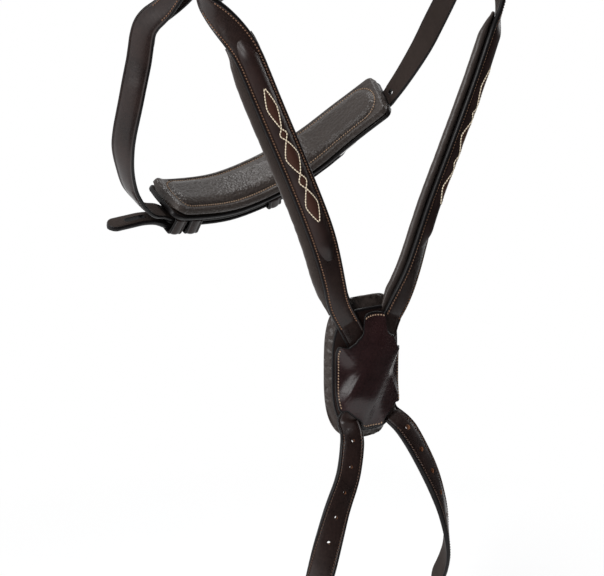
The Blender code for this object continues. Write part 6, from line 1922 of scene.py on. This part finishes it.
def jaw_right_path(clasp, line, share, height, low):
    until = share < JAW_BUCKLE_SHARE - JAW_RISE_SHARES[-1] / 2
    under = lifted(line, height)
    under = under[0][until], under[1][until]
    turned = (share < JAW_BUCKLE_SHARE) & (share > JAW_BUCKLE_SHARE - JAW_TURNED_SHARE)
    back = lifted(line, low)
    back = reverse((back[0][turned], -back[1][turned]))
    loop, leave = ring_loop(-1.0, JAW_RING_WAY, LEATHER)
    fall = route(leave, under[0][0], JAW_RIGHT_SHARES, JAW_RIGHT_FACES)
    chape = clasp.chape(joined((clasp.place(0.0, -clasp.wrap)[None], -clasp.face[None]), back))
    around = run_of(loop) > TURNED_END * 0.999
    around = loop[0][around], loop[1][around]
    inner = part_of(fine(joined(fall, under)), RING_LOOP_REACH / 2, JAW_TURNED_LENGTH)
    apart = np.linspace(0.0, 1.0, len(inner[0]))[:, None]
    near = LEATHER + SEAT + (RING_WIRE + 2 * SEAT) * (1 - ease(apart, 0.0, 0.5))
    inner = reverse((inner[0] - axes_of(inner)[2] * near, -inner[1]))
    return joined((inner[0][::6], inner[1][::6]), around, fall, under, chape)


def jaw_left_path(clasp, line, share, height, low):
    before = share > JAW_BUCKLE_SHARE + JAW_BUCKLE_CLEAR_SHARE
    after = (share < JAW_BUCKLE_SHARE - JAW_RISE_SHARES[-1]) & (share > JAW_TIP_SHARE)
    flat, high = lifted(line, low), lifted(line, height)
    flat = reverse((flat[0][before], flat[1][before]))
    high = reverse((high[0][after], high[1][after]))
    through = clasp.billet_path(0.0)
    loop, leave = ring_loop(1.0, JAW_RING_WAY, LEATHER)
    fall = route(leave, flat[0][0], JAW_LEFT_SHARES, JAW_LEFT_FACES)
    return joined(loop, fall, flat, through, high), fall


def dress_slip_loop(line, share, height):
    """The slotted leather loop held by two keepers."""
    under = lifted(line, height + SLIP_LOOP_THICKNESS / 2)
    held = share < SLIP_LOOP_TAIL_SHARE
    held = reverse((under[0][held], under[1][held]))
    centre, along, _, face = frame_at(held, 1.0)
    out = [centre + along * SLIP_LOOP_REACH * far + face * SLIP_LOOP_FALL * down
           for far, down in SLIP_LOOP_OUT_SHARES]
    places = np.vstack([held[0], out])
    faces = np.vstack([held[1], np.repeat(unit(np.array(SLIP_LOOP_END_FACE))[None], len(out), axis=0)])
    path = fine((places, faces), STATION_STEP / 2)
    run = run_of(path)
    widths = SLIP_LOOP_WIDTH * round_share(run[-1] - run, SLIP_LOOP_WIDTH / 2)
    half = SLIP_LOOP_THICKNESS / 2
    made = strap("slip_loop_leather", path, widths, -half, half, BLACK_LOOKS)
    slot_cut(made, (places, faces))
    dress(made, "slip_loop", "black_lining_leather", "slip_loop")


def slot_cut(thing, path):
    """The long slot of the slip loop, with straight sides and round ends."""
    middle, along, across, face = frame_at(path, SLIP_SLOT_SHARE)
    turn = full_turn(4 * WIRE_SIDES)
    wide, long = SLIP_SLOT_WIDTH / 2, SLIP_SLOT_LENGTH / 2
    ends = np.sign(np.cos(turn)) * (long - wide)
    ring = np.stack([wide * np.sin(turn), wide * np.cos(turn) + ends], axis=-1)
    flat = middle + across * ring[:, :1] + along * ring[:, 1:]
    cut_out(thing, [[flat - face * SLIP_LOOP_THICKNESS, flat + face * SLIP_LOOP_THICKNESS]], PAINTED_EDGE)


# Studio


def white_world():
    """Even light from a pale sky that the camera sees as pure white."""
    world = bpy.data.worlds.new("studio")
    bpy.context.scene.world = world
    world.use_nodes = True
    nodes, links = world.node_tree.nodes, world.node_tree.links
    sky = nodes["Background"]
    sky.inputs["Color"].default_value = SKY_COLOUR
    white = nodes.new("ShaderNodeBackground")
    white.inputs["Color"].default_value = (1.0, 1.0, 1.0, 1.0)
    rays = nodes.new("ShaderNodeLightPath")
    mix = nodes.new("ShaderNodeMixShader")
    seen = rays.outputs["Is Camera Ray"]
    for kind in ("Is Glossy Ray", "Is Transmission Ray"):
        either = nodes.new("ShaderNodeMath")
        either.operation = "MAXIMUM"
        links.new(seen, either.inputs[0])
        links.new(rays.outputs[kind], either.inputs[1])
        seen = either.outputs[0]
    links.new(seen, mix.inputs["Fac"])
    links.new(sky.outputs[0], mix.inputs[1])
    links.new(white.outputs[0], mix.inputs[2])
    links.new(mix.outputs[0], nodes["World Output"].inputs["Surface"])


def floor():
    """A plain white floor that keeps the shadow near the object and is pure white further out."""
    low = BOX_AT_START[0].z - FLOOR_GAP
    bpy.ops.mesh.primitive_plane_add(size=FLOOR_SIZE, location=(0.0, 0.0, low))
    ground = bpy.context.object
    ground.name = "floor"
    look = Look("white_floor")
    look.set(Base_Color=(0.93, 0.93, 0.93), Roughness=0.9, Specular_IOR_Level=0.0)
    spot = look.node("ShaderNodeTexCoord")["Object"]
    away = look.node("ShaderNodeVectorMath", {"Vector": spot}, operation="LENGTH")["Value"]
    rays = look.node("ShaderNodeLightPath")
    seen = (rays["Is Camera Ray"] + rays["Is Glossy Ray"] + rays["Is Transmission Ray"]).above(0.0, 1.0)
    white = look.node("ShaderNodeEmission", {"Color": (1.0, 1.0, 1.0)})["Emission"]
    mixed = look.node("ShaderNodeMixShader", {"Fac": seen * away.above(*FLOOR_FADE)})
    links, nodes = look.tree.links, look.tree.nodes
    links.new(look.shader.outputs[0], mixed["Shader"].socket.node.inputs[1])
    links.new(white.socket, mixed["Shader"].socket.node.inputs[2])
    links.new(mixed["Shader"].socket, nodes["Material Output"].inputs["Surface"])
    ground.data.materials.append(look.material)


def lamp(name, place, size, power):
    """A round lamp that looks at the nose disc's height on the object's axis."""
    data = bpy.data.lights.new(name, "AREA")
    data.shape, data.size, data.energy = "DISK", size, power
    thing = bpy.data.objects.new(name, data)
    thing.location = place
    way = Vector((0.0, 0.0, -DISC_DROP)) - Vector(place)
    thing.rotation_euler = way.to_track_quat("-Z", "Y").to_euler()
    bpy.context.scene.collection.objects.link(thing)


def dark_card():
    """A curved black card round the camera's side, seen only in reflections, as glossy leather needs."""
    turn = np.radians(np.linspace(*CARD_TURNS, 2 * WIRE_SIDES))
    sweep = CARD_DISTANCE * np.sin(turn), -CARD_DISTANCE * np.cos(turn), 0 * turn - DISC_DROP
    rim = np.stack(sweep, axis=-1)
    corners = np.concatenate([rim - (0.0, 0.0, CARD_REACH), rim + (0.0, 0.0, CARD_REACH)])
    mesh = bpy.data.meshes.new("dark_card")
    count = len(turn)
    mesh.from_pydata(corners.tolist(), [], [[k, k + 1, count + k + 1, count + k] for k in range(count - 1)])
    card = bpy.data.objects.new("dark_card", mesh)
    bpy.context.scene.collection.objects.link(card)
    look = Look("black_card")
    look.set(Base_Color=(0.02, 0.02, 0.02), Roughness=0.9, Specular_IOR_Level=0.0)
    mesh.materials.append(look.material)
    card.visible_camera = False
    card.visible_diffuse = False
    card.visible_shadow = False


def studio():
    white_world()
    floor()
    dark_card()
    for settings in LAMPS:
        lamp(*settings)


def camera():
    """The photograph's view: 30 degrees round to the horse's right, 16 degrees above."""
    data = bpy.data.cameras.new("photo")
    data.lens, data.sensor_width = CAMERA_LENS, SENSOR_WIDTH
    data.clip_start, data.clip_end = 0.05, 100.0
    thing = bpy.data.objects.new("photo", data)
    turn, lift = np.radians(CAMERA_TURN), np.radians(CAMERA_LIFT)
    back = Vector((np.sin(turn) * np.cos(lift), -np.cos(turn) * np.cos(lift), np.sin(lift)))
    thing.location = CAMERA_PLACE
    thing.rotation_euler = (-back).to_track_quat("-Z", "Y").to_euler()
    bpy.context.scene.collection.objects.link(thing)
    bpy.context.scene.camera = thing


def build():
    line = crown_path()
    top, slit = dress_headpiece(line)
    dress_crown(line)
    dress_rings()
    dress_browband(line)
    for name, side in SIDES.items():
        dress_cheekpiece(name, side, line, top, slit)
        dress_front(name, side)
    dress_throatlatch(line, top, slit)
    dress_disc()
    dress_chin()
    dress_jaw_straps()
    studio()
    camera()
    bpy.context.scene.view_settings.view_transform = "Standard"


build()
